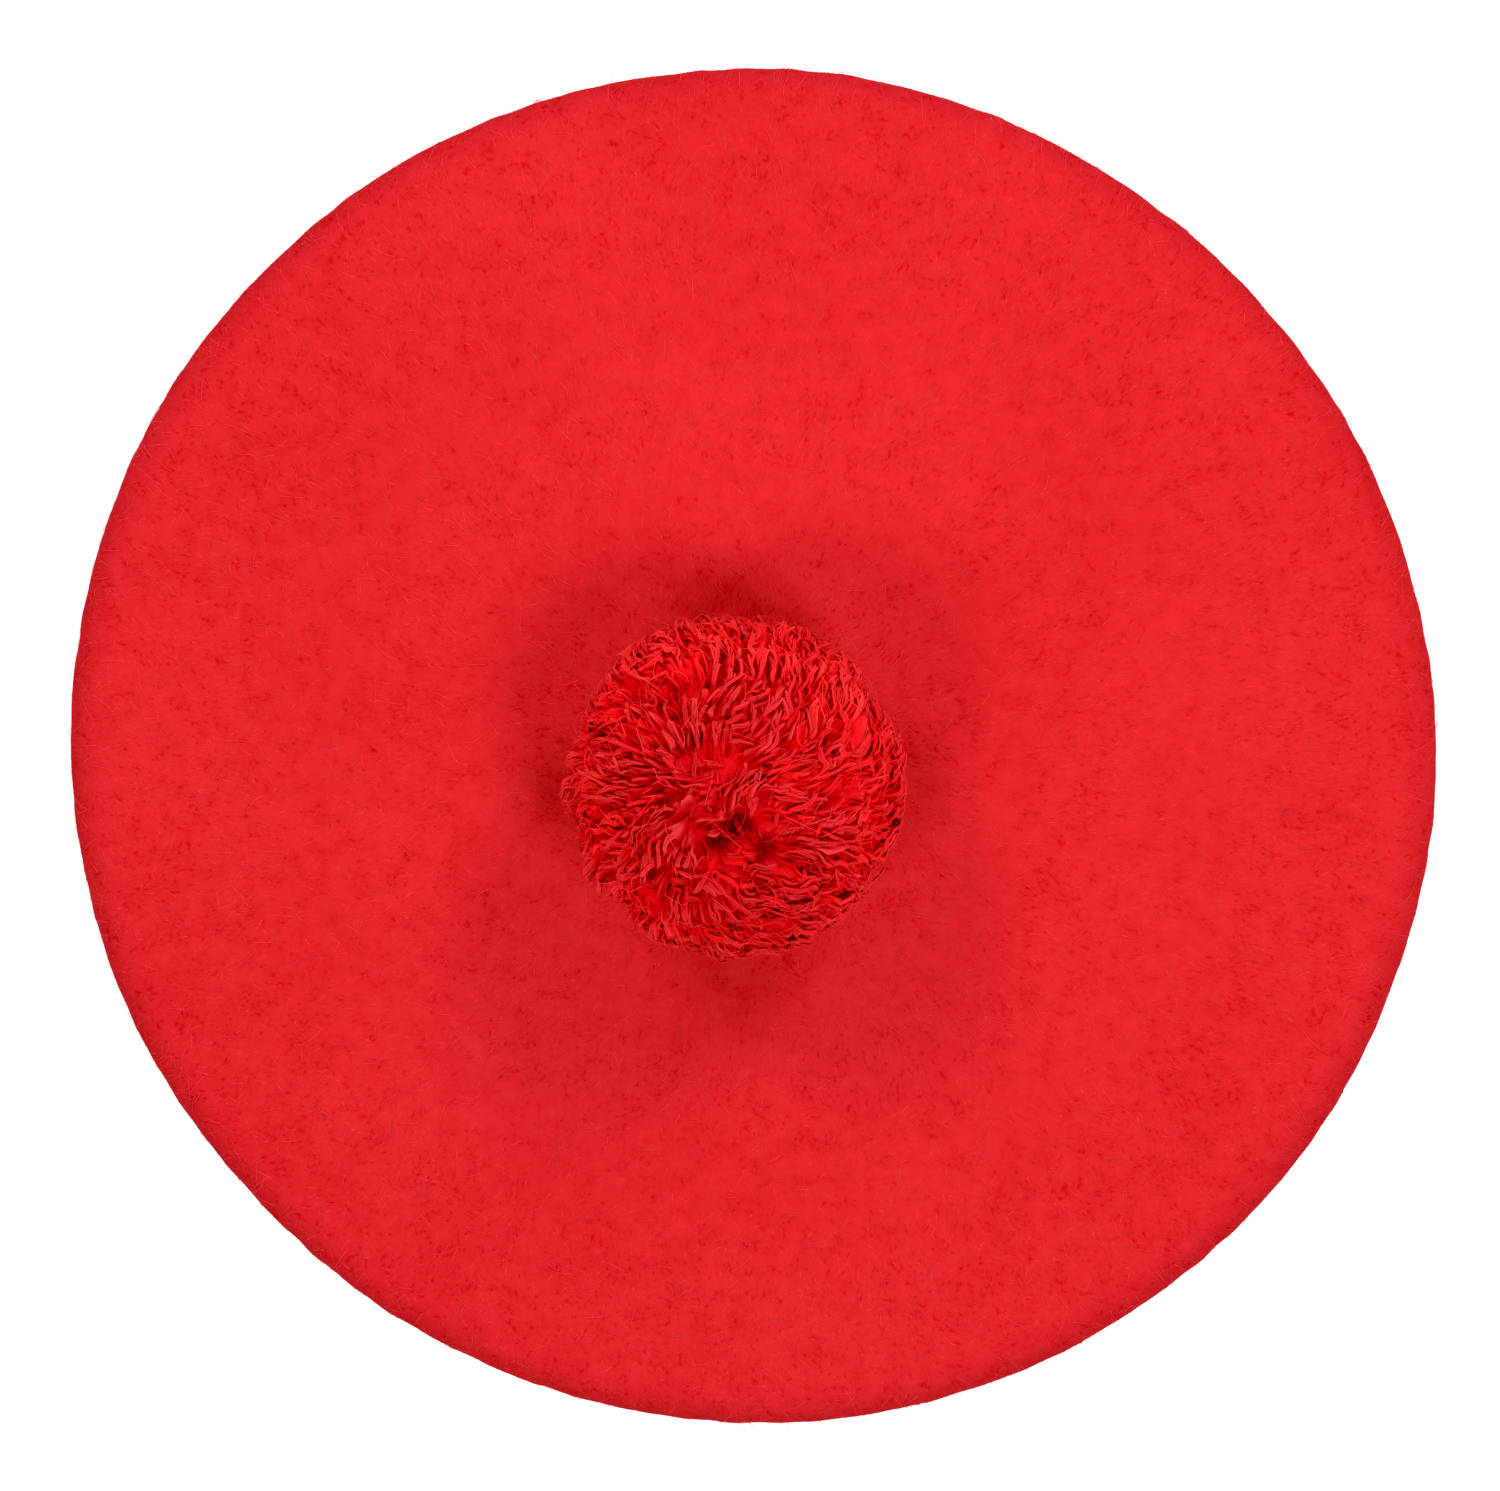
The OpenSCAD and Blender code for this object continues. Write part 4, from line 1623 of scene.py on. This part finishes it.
@dataclass
class Pompom:
    """Ball of cut yarn ends that flop over each other in tufts.

    Pairs of lengths are the least and the most. Lumps and waves are each a cell and a size, the swirl's and
    the parting's places are directions from the ball's middle, and a hollow is the x and y of its direction,
    its width as a share of the radius, and its depth. The wisps' lengths and depths and the ragged tips
    are in millimetres.
    """

    radius: float = 34.2 * MM
    centre: float = 74.35 * MM
    pivot: float = 42.85 * MM
    clear_angle: float = math.radians(18.6)
    core: float = 29.8 * MM
    clumps: int = 700
    clump_pull: float = 0.34
    clump_dip: float = 2.4 * MM
    clump_seed: int = 5
    section: LeafSection = LeafSection()
    ends: int = 3200
    parts: int = 2
    depth: Pair = (0.2 * MM, 2.4 * MM)
    root_depth: float = 4.0 * MM
    flop: Pair = (4.0 * MM, 10.0 * MM)
    flop_noise: float = 0.34
    droop: Pair = (-2.2 * MM, 0.8 * MM)
    crimp: float = 0.42 * MM
    lean: float = 0.5
    ragged: Pair = (-0.5, 0.3)
    shortest: float = 2.5 * MM
    # depths over which the painted shade in the hollows grows to full
    hollow_shade_range: Pair = (0.6 * MM, 3.0 * MM)
    tip_depth: float = 4.2 * MM
    highlight_strength: Pair = (0.15, 1.0)
    rings: int = 9
    pile_columns: int = 500
    pile_rows: tuple[int, int] = (125, 68)
    pile_cell: float = 0.80 * MM
    pile_stroke: float = 3.4 * MM
    pile_steps: int = 9
    pile_height: float = 3.0 * MM
    lumps: tuple[Pair, ...] = ((7.0 * MM, 2.0 * MM), (2.9 * MM, 1.5 * MM))
    high_lump_share: float = 0.3
    press: float = 0.35
    cone_margin: float = 0.3 * MM
    fibre_rings: int = 7
    fibre_radius: float = 0.085 * MM
    stray_share: float = 0.10
    strays: Pair = (0.25 * MM, 1.2 * MM)
    fibre_lift: float = 0.10 * MM
    wisps: int = 700
    wisp_length: Pair = (3.5, 9.0)
    wisp_depth: Pair = (-1.9, -1.0)
    wisp_bend: float = 1.6 * MM
    waves: tuple[Pair, ...] = ((7.5 * MM, 2.0 * MM), (3.4 * MM, 1.1 * MM))
    parting: Place = (0.04, 0.04, 1.0)
    swirl_eye: Place = (0.20, 0.40, 0.89)
    swirl_middle: float = -0.5
    swirl_width: float = 1.55
    curls: Pair = (math.radians(85.0), 0.40)
    hollows: tuple[tuple[float, float, float, float], ...] = (
        (0.11, -0.15, 0.11, 4.5 * MM),
        (-0.07, -0.29, 0.07, 4.0 * MM),
        (0.28, -0.28, 0.08, 3.5 * MM),
        (-0.48, -0.56, 0.10, 3.5 * MM),
        (-0.74, -0.41, 0.08, 3.0 * MM),
        (0.66, 0.01, 0.07, 3.0 * MM),
        (-0.30, 0.55, 0.06, 2.5 * MM),
        (0.10, 0.16, 0.06, 2.0 * MM),
    )

    def flow(self, out: Array) -> Array:
        """Direction in which the ends at each place flop over.

        On the side facing -X it points away from the parting at the top. On the other side it runs
        anticlockwise round the swirl's eye, with a share of exp(-((angle - middle) / width)^4) by the angle
        round the axis. Noise turns it into curls, and beside the crease that runs from the top towards -Y
        it points away from the crease. Close to the parting noise alone gives it, so that the ends there
        lie over each other.

        Args:
            out: Unit vectors from the ball's middle.

        Returns:
            Unit vectors square to them.
        """
        away = unit(square_to(out - unit(np.array(self.parting)), out))
        round_eye = unit(np.cross(unit(np.array(self.swirl_eye)), out))
        around = np.arctan2(out[:, 1], out[:, 0])
        share = np.exp(-(((around - self.swirl_middle) / self.swirl_width) ** 4))[:, None]
        heading = unit((1.0 - share) * away + share * round_eye)
        turn = self.curls[0] * layered_noise(out, self.curls[1], Seed.CURL, 2)[:, None]
        heading = np.cos(turn) * heading + np.sin(turn) * np.cross(out, heading)
        beside = np.exp(-((out[:, 0] / 0.10) ** 2)) * smoothstep(0.05, -0.08, out[:, 1])
        beside = (beside * smoothstep(-0.60, -0.45, out[:, 1]))[:, None]
        parted = np.zeros_like(out)
        parted[:, 0] = np.clip(out[:, 0] / 0.03, -1.0, 1.0)
        heading = heading * (1.0 - beside) + beside * parted
        for x, y, size, _ in self.hollows:
            aside = out - np.array([x, y, math.sqrt(1.0 - x * x - y * y)])
            near = np.exp(-np.sum(aside**2, axis=1) / (1.5 * size) ** 2)[:, None]
            heading = heading * (1.0 - near) + near * unit(square_to(aside, out))
        loose = unit(np.stack([lattice_noise(out, 0.20, Seed.PARTING + axis) for axis in range(3)], axis=1))
        aside = np.linalg.norm(out - unit(np.array(self.parting)), axis=1)
        off = smoothstep(0.10, 0.45, aside)[:, None]
        return unit(square_to(off * heading + (1.0 - off) * loose, out))

    def hollow_depth(self, out: Array) -> Array:
        """How far the ends fall short in the hollows.

        Args:
            out: Unit vectors from the ball's middle.

        Returns:
            The sum of depth exp(-(a / width)^2) at distance a from each hollow.
        """
        short = np.zeros(len(out))
        for x, y, size, depth in self.hollows:
            middle = np.array([x, y, math.sqrt(1.0 - x * x - y * y)])
            short = short + depth * np.exp(-np.sum((out - middle) ** 2, axis=1) / size**2)
        return short

    def lump_height(self, out: Array) -> Array:
        """How far the tufts stand out or fall short: the sum of noise of the lumps' cells and sizes."""
        return sum(
            size * lattice_noise(out * self.radius, cell, Seed.TUFT + number)
            for number, (cell, size) in enumerate(self.lumps)
        )

    def hollow_shade_share(self, points: Array) -> Array:
        """How deep each place lies among the tufts, the mask of the painted shade in the hollows and gaps.

        Args:
            points: Places round the ball's middle.

        Returns:
            Shares from 0 on a tuft to 1 in the deepest hollows and gaps.
        """
        out = unit(points.reshape(-1, 3))
        short = self.hollow_depth(out) + np.maximum(-self.lump_height(out), 0.0)
        return smoothstep(*self.hollow_shade_range, short).reshape(points.shape[:-1])

    def flank_light_share(self, points: Array) -> Array:
        """How far round the ball's side each place is, from 0 at the top to 1 near the equator and below: the
        mask of the painted light on the ball's sides.
        """
        up = points[..., 2] / np.maximum(np.linalg.norm(points, axis=-1), 1e-9)
        return smoothstep(0.97, 0.35, up)

    def kept_clear(self, points: Array, margin: float) -> Array:
        """Lifts what would lie below the cone that the pompom's lean needs, up on to the cone.

        Args:
            points: Places, with x, y, z on the last axis.
            margin: Distance that they keep above the cone.

        Returns:
            The places, none of them below the cone.
        """
        reach = np.linalg.norm(points[..., :2], axis=-1)
        floor = self.pivot + reach * math.tan(self.clear_angle) + margin / math.cos(self.clear_angle)
        lifted = points.copy()
        lifted[..., 2] = np.maximum(points[..., 2], floor)
        return lifted

    def bent_ends(self, rng: Random) -> tuple[Array, Array]:
        """Middle lines of the yarn ends that stand free.

        An end rises straight out of the core over its first half and leans over all along: its distance
        from the middle is root + (reach - root) smooth(2 s) less a droop at the tip, and its direction goes
        from its own to the tip's. The tip is flopped along the flow and pulled towards the middle of its
        clump. Clumps differ in height, hollows are shorter, and a slow wave is laid over each end.

        Args:
            rng: Source of the random numbers.

        Returns:
            The lines, and the directions square to the flop.
        """
        count = self.ends
        out = even_directions(count, rng, 0.7)
        clump_rng = np.random.default_rng(self.clump_seed)
        clump = even_directions(self.clumps, clump_rng, 0.8)
        dip = self.clump_dip * clump_rng.random(self.clumps) ** 2
        nearest = np.argmax(out @ clump.T, axis=1)
        heading = unit(self.flow(out) + self.flop_noise * rng.normal(size=(count, 3)))
        over = rng.uniform(*self.flop, count)
        shallow, deep = self.depth
        reach = self.radius - shallow - (deep - shallow) * rng.random(count)
        short = np.clip(-self.lump_height(unit(out + 0.10 * heading)), 0.0, self.shortest)
        reach = (reach - dip[nearest] - self.hollow_depth(out) - short)[:, None, None]
        pull = self.clump_pull * self.radius * (clump[nearest] - out)
        tip_out = unit(out * self.radius + heading * over[:, None] + pull)
        s = np.linspace(0.0, 1.0, self.rings)[None, :, None]
        droop = rng.uniform(*self.droop, (count, 1, 1)) * smoothstep(0.6, 1.0, s)
        root = self.core - self.root_depth
        far = root + (reach - root) * smoothstep(0.0, 0.5, s) - droop
        line = far * unit(out[:, None] + (tip_out - out)[:, None] * s)
        turn = TAU * (s * rng.uniform(0.6, 1.4, (count, 1, 1)) + rng.random((count, 1, 1)))
        line = line + self.crimp * s * np.sin(turn) * rng.normal(size=(count, 1, 3))
        return line, np.cross(out, heading)

    def frames(self, line: Array, across: Array, rng: Random) -> tuple[Array, Array, Array]:
        """Sideways and outward directions along each end, turned about it by an angle that grows to the tip.

        Args:
            line: Middle lines.
            across: Directions square to the flop.
            rng: Source of the random numbers.

        Returns:
            Directions along, sideways and outwards, at each ring.
        """
        along = unit(np.gradient(line, axis=1))
        wide = unit(square_to(np.broadcast_to(across[:, None], along.shape), along))
        deep = np.cross(along, wide)
        s = np.linspace(0.0, 1.0, self.rings)[None, :, None]
        turn = self.lean * (rng.normal(size=(len(line), 1, 1)) + rng.normal(size=(len(line), 1, 1)) * s)
        return along, np.cos(turn) * wide + np.sin(turn) * deep, np.cos(turn) * deep - np.sin(turn) * wide

    def combed(self, points: Array) -> Array:
        """Waves neighbouring ends together: adds vector noise of the waves' cells, none at the core.

        Args:
            points: Places round the ball's middle.

        Returns:
            The places, moved.
        """
        free = smoothstep(self.core, self.radius, np.linalg.norm(points, axis=-1))[..., None]
        moved = points
        for number, (cell, size) in enumerate(self.waves):
            push = [lattice_noise(points, cell, Seed.WAVE + 10 * number + axis) for axis in range(3)]
            moved = moved + size * free * np.stack(push, axis=-1)
        return moved

    def laid(self, rng: Random) -> tuple[Array, Array]:
        """Corner places of the free ends round the ball's middle.

        Args:
            rng: Source of the random numbers.

        Returns:
            Places as ends by rings by columns, and how much painted highlight each place gets.
        """
        line, across = self.bent_ends(rng)
        along, wide, deep = self.frames(line, across, rng)
        s = np.linspace(0.0, 1.0, self.rings)
        sideways, outward, edge_highlight = self.section.offsets(s, self.ends, rng)
        uneven = rng.uniform(*self.ragged, (self.ends, 1, edge_highlight.shape[2])) * MM
        ragged = uneven * smoothstep(0.6, 1.0, s)[None, :, None]
        taper = (1.0 - 0.3 * smoothstep(0.75, 1.0, s))[None, :, None]
        points = line[:, :, None] + (sideways * taper)[..., None] * wide[:, :, None]
        points = points + (outward * taper)[..., None] * deep[:, :, None]
        return self.combed(points + ragged[..., None] * along[:, :, None]), edge_highlight

    def strokes(self, out: Array) -> Array:
        """Noise drawn out along the flow, which stands in ridges like combed yarn.

        It is the mean of fine noise at places stepped along the flow, ahead and behind, with weights that
        fall as cos^2 towards both ends of the stroke, brought to a middle of 0 and a spread of 1.

        Args:
            out: Unit vectors from the ball's middle.

        Returns:
            The value at each.
        """
        total = layered_noise(out * self.radius, self.pile_cell, Seed.STROKE, 2)
        for way in (1.0, -1.0):
            place = out
            stride = way * self.pile_stroke / self.pile_steps / self.radius
            for step in range(1, self.pile_steps + 1):
                place = unit(place + stride * self.flow(place))
                weight = math.cos(0.5 * math.pi * step / (self.pile_steps + 1)) ** 2
                total = total + weight * layered_noise(place * self.radius, self.pile_cell, Seed.STROKE, 2)
        return (total - np.mean(total)) / np.std(total)

    def pile(self) -> Piece:
        """Makes the dense pile that the free ends stand in: a ball with combed ridges, lumps and hollows.

        Its radius is core + h ridge + lump - hollow, where ridge is the strokes' value eased into thin
        crests and broad valleys, and only a share counts of a lump that stands out.

        Returns:
            The pile.
        """
        upper, lower = self.pile_rows
        equator = math.pi / 2
        above = np.linspace(0.01, equator, upper)
        below = np.linspace(equator, math.pi - 0.03, lower + 1)[1:]
        polar = np.concatenate([above, below])[:, None]
        turn = (TAU * np.arange(self.pile_columns) / self.pile_columns)[None, :]
        out = round_axis(np.sin(polar), turn, np.cos(polar) + 0 * turn).reshape(-1, 3)
        stroke = self.strokes(out)
        ridge = smoothstep(-1.2, 2.2, stroke) ** 1.2
        lump = self.lump_height(out)
        lump = np.where(lump > 0.0, self.high_lump_share, 1.0) * lump
        reach = self.core + self.pile_height * ridge + lump - self.hollow_depth(out)
        placed = self.held_inside(self.combed(out * reach[:, None]))
        # height picks root or tip colour: the brighter root paints fill light into the valleys
        height = smoothstep(self.core - 0.5 * MM, self.radius - 0.8 * MM, reach)
        tones = {
            "shade": np.full(len(out), 0.5),
            "tip_share": height,
            # painted highlight along the ridges' crests
            "edge_highlight": height * smoothstep(1.2, 2.6, stroke),
            "flank_light": self.flank_light_share(out),
            "deep": self.hollow_shade_share(out),
        }
        ring = np.arange(self.pile_columns)
        last = (len(polar) - 1) * self.pile_columns
        quads = grid_quads(len(polar), self.pile_columns, False, True)
        caps = [ring[None, :], (last + ring)[::-1][None, :]]
        return mesh_object("pompom_pile", placed, [quads, *caps], tones)

    def pieces(self, rng: Random) -> list[Piece]:
        """Makes the pile, the free ends, and their loose fibres.

        Args:
            rng: Source of the random numbers.

        Returns:
            All the pieces, the fibres last.
        """
        s = np.linspace(0.0, 1.0, self.rings)[None, :, None]
        points, edge_highlight = self.laid(rng)
        # height picks root or tip colour: the brighter root paints fill light into the depths
        height = smoothstep(self.radius - self.tip_depth, self.radius, np.linalg.norm(points, axis=-1))
        # painted highlight along the ends' edges and tips, of random strength
        edge_highlight = np.clip(edge_highlight * smoothstep(0.2, 0.5, s) + 0.5 * smoothstep(0.9, 1.0, s), 0.0, 1.0)
        edge_highlight = edge_highlight * rng.uniform(*self.highlight_strength, (self.ends, 1, 1))
        shade = np.broadcast_to(rng.random((self.ends, 1, 1)), edge_highlight.shape)
        tones = {
            "shade": shade,
            "tip_share": height,
            "edge_highlight": edge_highlight * height,
            "flank_light": self.flank_light_share(points),
            "deep": self.hollow_shade_share(points) * (1.0 - height),
        }
        placed = self.held_inside(points)
        made = [self.pile()]
        for part in range(self.parts):
            pick = slice(part, None, self.parts)
            faces = self.end_faces(len(placed[pick]), edge_highlight.shape[2])
            own = {key: tone[pick] for key, tone in tones.items()}
            made.append(mesh_object(f"pompom_ends_{part + 1}", placed[pick].reshape(-1, 3), faces, own))
        path = np.concatenate([self.stray_wisps(rng), self.loose_fibres(points, rng)])
        facing = np.clip(unit(path)[..., 2] + 0.5, -1.0, 1.0)
        thin = np.linspace(1.0, 0.6, self.fibre_rings)
        radii = self.fibre_radius * rng.uniform(0.6, 1.3, (len(path), 1)) * thin
        shade = np.repeat(rng.random((len(path), 1)), self.fibre_rings, axis=1)
        tones = {"shade": shade, "facing": facing}
        return made + [tube_object("pompom_fibres", self.held_inside(path), radii, 3, tones)]

    def loose_fibres(self, ends: Array, rng: Random) -> Array:
        """Middle lines of single fibres that lie along an end's edges and stray past its tip.

        Each starts halfway up its column, and its stray is t t times a random vector.

        Args:
            ends: Places of the ends, as ends by rings by columns.
            rng: Source of the random numbers.

        Returns:
            The lines, as fibres by rings.
        """
        count, rings = ends.shape[:2]
        edges_first = [0, 0, 4, 4, 1, 2, 3]
        column = rng.choice(edges_first, count)
        lines = ends[np.arange(count), :, column]
        lines = np.concatenate([lines, 1.4 * lines[:, -1:] - 0.4 * lines[:, -2:-1]], axis=1)
        where = np.linspace(rings / 2, rings, self.fibre_rings)
        low = np.minimum(where.astype(int), rings - 1)
        part = (where - low)[None, :, None]
        path = lines[:, low] * (1.0 - part) + lines[:, low + 1] * part
        t = np.linspace(0.0, 1.0, self.fibre_rings)[None, :, None]
        tame, wild = self.strays
        stray = np.where(rng.random((count, 1, 1)) < self.stray_share, wild, tame)
        lift = self.fibre_lift * unit(path)
        return path + lift + stray * t * t * rng.normal(size=(count, 1, 3))

    def stray_wisps(self, rng: Random) -> Array:
        """Middle lines of long single fibres that cross over the ends.

        Each runs along the flow, turned by a random angle, dips into the ball at both ends, and bends
        sideways by c t t.

        Args:
            rng: Source of the random numbers.

        Returns:
            The lines, as fibres by rings.
        """
        out = even_directions(self.wisps, rng, 0.9)
        turn = rng.normal(size=(self.wisps, 1)) * 0.5
        ahead = self.flow(out)
        beside = np.cross(out, ahead)
        heading = np.cos(turn) * ahead + np.sin(turn) * beside
        sideways = np.cross(out, heading)
        t = np.linspace(0.0, 1.0, self.fibre_rings)[None, :, None]
        length = rng.uniform(*self.wisp_length, (self.wisps, 1, 1)) * MM
        bend = rng.normal(size=(self.wisps, 1, 1)) * self.wisp_bend
        rise = rng.uniform(*self.wisp_depth, (self.wisps, 1, 1)) + 1.3 * np.sin(math.pi * t) ** 0.7
        far = self.radius + rise * MM
        line = self.radius * out[:, None] + length * t * heading[:, None] + bend * t * t * sideways[:, None]
        return self.combed(far * unit(line))

    def end_faces(self, count: int, columns: int) -> list[Array]:
        """Faces of many ends that are alike.

        Args:
            count: Number of ends.
            columns: Corners in each ring of an end.

        Returns:
            The sides, the root caps and the tip caps.
        """
        first = (np.arange(count) * self.rings * columns)[:, None, None]
        quads = grid_quads(self.rings, columns, False, True)[None, :, ::-1] + first
        start = np.arange(columns)[::-1][None, None, :] + first
        end = ((self.rings - 1) * columns + np.arange(columns))[None, None, :] + first
        return [quads.reshape(-1, 4), start.reshape(-1, columns), end.reshape(-1, columns)]

    def held_inside(self, points: Array) -> Array:
        """Moves the ball's points to its place, and presses back what passes its radius.

        Args:
            points: Places round the ball's middle.

        Returns:
            Places in the part's frame, none below the clear cone.
        """
        far = np.linalg.norm(points, axis=-1, keepdims=True)
        held = np.where(far > self.radius, self.radius + self.press * (far - self.radius), far)
        placed = points * held / np.maximum(far, 1e-9) + np.array([0.0, 0.0, self.centre])
        return self.kept_clear(placed, self.cone_margin)


# ---- the studio


@dataclass(frozen=True)
class Softbox:
    """One square soft light, aimed at the crown: its angles in degrees, its power in watts."""

    name: str
    azimuth: float
    elevation: float
    power: float
    distance: float = 1.5
    side: float = 0.36

    def place(self, target: Array) -> None:
        """Puts the light up.

        Args:
            target: Place that it points at.
        """
        turn, rise = math.radians(self.azimuth), math.radians(self.elevation)
        away = np.array([math.cos(rise) * math.cos(turn), math.cos(rise) * math.sin(turn), math.sin(rise)])
        light = bpy.data.lights.new(self.name, "AREA")
        light.energy = self.power
        light.size = self.side
        lamp = bpy.data.objects.new(self.name, light)
        bpy.context.scene.collection.objects.link(lamp)
        lamp.location = target + self.distance * away
        lamp.rotation_euler = (math.pi / 2 - rise, 0.0, turn + math.pi / 2)


@dataclass
class Studio:
    """Pale floor, four soft lights at the corners, and a camera that looks almost straight down.

    The camera leans by its tilt towards its side, both in degrees, and at its distance its frame is as wide
    as the frame's width. The film's black level takes off the lens's veil.
    """

    target: Place = (0.0, 0.0, 24.7 * MM)
    camera_tilt: float = 8.3
    camera_side: float = 62.8
    camera_distance: float = 1.5
    frame_width: float = 0.30795
    sensor: float = 0.036
    shift: Pair = (0.0004, 0.0054)
    black_level: float = 0.012
    ambient: float = 0.25
    floor_side: float = 60.0
    softboxes: tuple[Softbox, ...] = (
        Softbox("softbox_back_right", 55.0, 46.5, 9.0),
        Softbox("softbox_back_left", 122.0, 51.0, 7.5),
        Softbox("softbox_front_left", 223.0, 65.0, 6.3),
        Softbox("softbox_front_right", -30.0, 66.0, 9.3),
    )

    def build(self) -> None:
        """Sets the floor, the lights, the sky and the camera."""
        self.floor()
        for softbox in self.softboxes:
            softbox.place(np.array(self.target))
        world = bpy.data.worlds.new("studio_air")
        world.use_nodes = True
        sky = world.node_tree.nodes["Background"]
        sky.inputs["Color"].default_value = (1.0, 1.0, 1.0, 1.0)
        sky.inputs["Strength"].default_value = self.ambient
        bpy.context.scene.world = world
        film = bpy.context.scene.view_settings
        film.view_transform = "Standard"
        film.use_curve_mapping = True
        film.curve_mapping.black_level = (self.black_level,) * 3
        self.camera()

    def floor(self) -> None:
        """Lays the paper flat under the beret."""
        half = self.floor_side / 2
        corners = np.array([[-half, -half, 0.0], [half, -half, 0.0], [half, half, 0.0], [-half, half, 0.0]])
        paper = mesh_object("studio_floor", corners, [np.arange(4)[None, :]], {})
        paper.data.materials.append(PaperFinish().material())

    def camera(self) -> None:
        """Aims the camera at the rim's middle, tilted a little towards the back right corner."""
        tilt, side = math.radians(self.camera_tilt), math.radians(self.camera_side)
        away = np.array([math.sin(tilt) * math.cos(side), math.sin(tilt) * math.sin(side), math.cos(tilt)])
        data = bpy.data.cameras.new("camera")
        data.sensor_width = self.sensor * 1000.0
        data.lens = self.sensor * 1000.0 * self.camera_distance / self.frame_width
        data.shift_x, data.shift_y = self.shift
        eye = bpy.data.objects.new("camera", data)
        bpy.context.scene.collection.objects.link(eye)
        right = unit(np.cross(-away, np.array([0.0, 1.0, 0.0])))
        up = np.cross(right, -away)
        eye.location = np.array(self.target) + self.camera_distance * away
        eye.rotation_euler = Matrix(np.stack([right, up, away], axis=1).tolist()).to_euler()
        bpy.context.scene.camera = eye


# ---- putting it together


class BeretMaker:
    """Builds the beret's pieces in order, dresses them and hangs them on their bodies."""

    seed: int = 47

    def __init__(self, nodes: dict[str, Piece]) -> None:
        """Prepares the finishes.

        Args:
            nodes: The solids' objects by name.
        """
        self.nodes = nodes
        self.rng = np.random.default_rng(self.seed)
        self.section = FeltSection()
        self.materials = {finish: finish.value.material() for finish in Finish}

    def hang(self, piece: Piece, body: Body, finish: Finish, node: str = "") -> None:
        """Dresses a piece, puts it on its body and hides the solid that it stands for, if any.

        Args:
            piece: The new piece.
            body: Body that it rides on.
            finish: Its finish.
            node: The solid that it replaces, or nothing for a piece that only adds to one.
        """
        piece.data.materials.append(self.materials[finish])
        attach(piece, body.value)
        if node:
            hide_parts(node)
        LOG.info("%s: %d faces on %s", piece.name, len(piece.data.polygons), body.value)

    def crown(self) -> None:
        """Felt body with its nap, hem stitches and ribbon."""
        section = self.section
        shell = FeltShell(section)
        shell.shaped()
        self.hang(shell.piece(), Body.CROWN, Finish.WOOL_FELT, "felt_body")
        for fibres in Nap(shell).pieces(self.rng):
            self.hang(fibres, Body.CROWN, Finish.NAP_FIBRE)
        collar_face = section.collar_middle + section.half
        hem = StitchRow("hem_thread", collar_face, section.fold_height + 0.6 * section.collar_height, True)
        self.hang(hem.piece(), Body.CROWN, Finish.SEWING_THREAD, "hem_stitches")
        low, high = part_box("sweatband")
        band = Sweatband(section.head_radius, section.ribbon_thickness, low.z, high.z - low.z)
        self.hang(band.piece(), Body.CROWN, Finish.GROSGRAIN, "sweatband")
        joint, thread = band.joint_thread(), Finish.SEWING_THREAD
        self.hang(joint, Body.CROWN, thread, "sweatband_joint_stitches")
        row = StitchRow("ribbon_thread", section.head_radius, low.z + 0.08 * (high.z - low.z), False)
        self.hang(row.piece(), Body.CROWN, thread, "sweatband_stitches")

    def anchor(self) -> None:
        """Patch, button and knot inside the crown."""
        anchor = Anchor()
        self.hang(anchor.patch(), Body.CROWN, Finish.PATCH_FELT, "backing_patch")
        self.hang(anchor.patch_thread(), Body.CROWN, Finish.SEWING_THREAD, "patch_stitches")
        self.hang(anchor.knot(), Body.CROWN, Finish.TIE_YARN, "anchor_knot")
        self.hang(anchor.tails(), Body.CROWN, Finish.TIE_YARN, "tie_tails")
        for slot in self.nodes["anchor_button"].material_slots:
            slot.material = self.materials[Finish.BUTTON_RESIN]

    def shank(self) -> None:
        """Knot, winding and cords between the crown and the pompom."""
        shank = Shank()
        self.hang(shank.knot(), Body.SHANK_BASE, Finish.TIE_YARN, "shank_knot")
        self.hang(shank.winding(), Body.SHANK_NECK, Finish.TIE_YARN, "shank_wrap")
        self.hang(shank.cords(), Body.POMPOM, Finish.TIE_YARN, "binding_cords")
        self.hang(shank.waist(), Body.POMPOM, Finish.TIE_YARN, "waist_binding")

    def pompom(self) -> None:
        """The ball of cut yarn."""
        pompom = Pompom()
        pile, *ends, fibres = pompom.pieces(self.rng)
        self.hang(pile, Body.POMPOM, Finish.POMPOM_PILE, "pompom_yarn")
        for part in ends:
            self.hang(part, Body.POMPOM, Finish.POMPOM_YARN, "pompom_yarn")
        self.hang(fibres, Body.POMPOM, Finish.POMPOM_FIBRE)


def main() -> None:
    """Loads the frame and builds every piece."""
    logging.basicConfig(level=logging.INFO, format="%(name)s: %(message)s", stream=sys.stdout)
    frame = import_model()
    maker = BeretMaker(frame["nodes"])
    maker.crown()
    maker.anchor()
    maker.shank()
    maker.pompom()
    Studio().build()


if __name__ == "__main__":
    main()
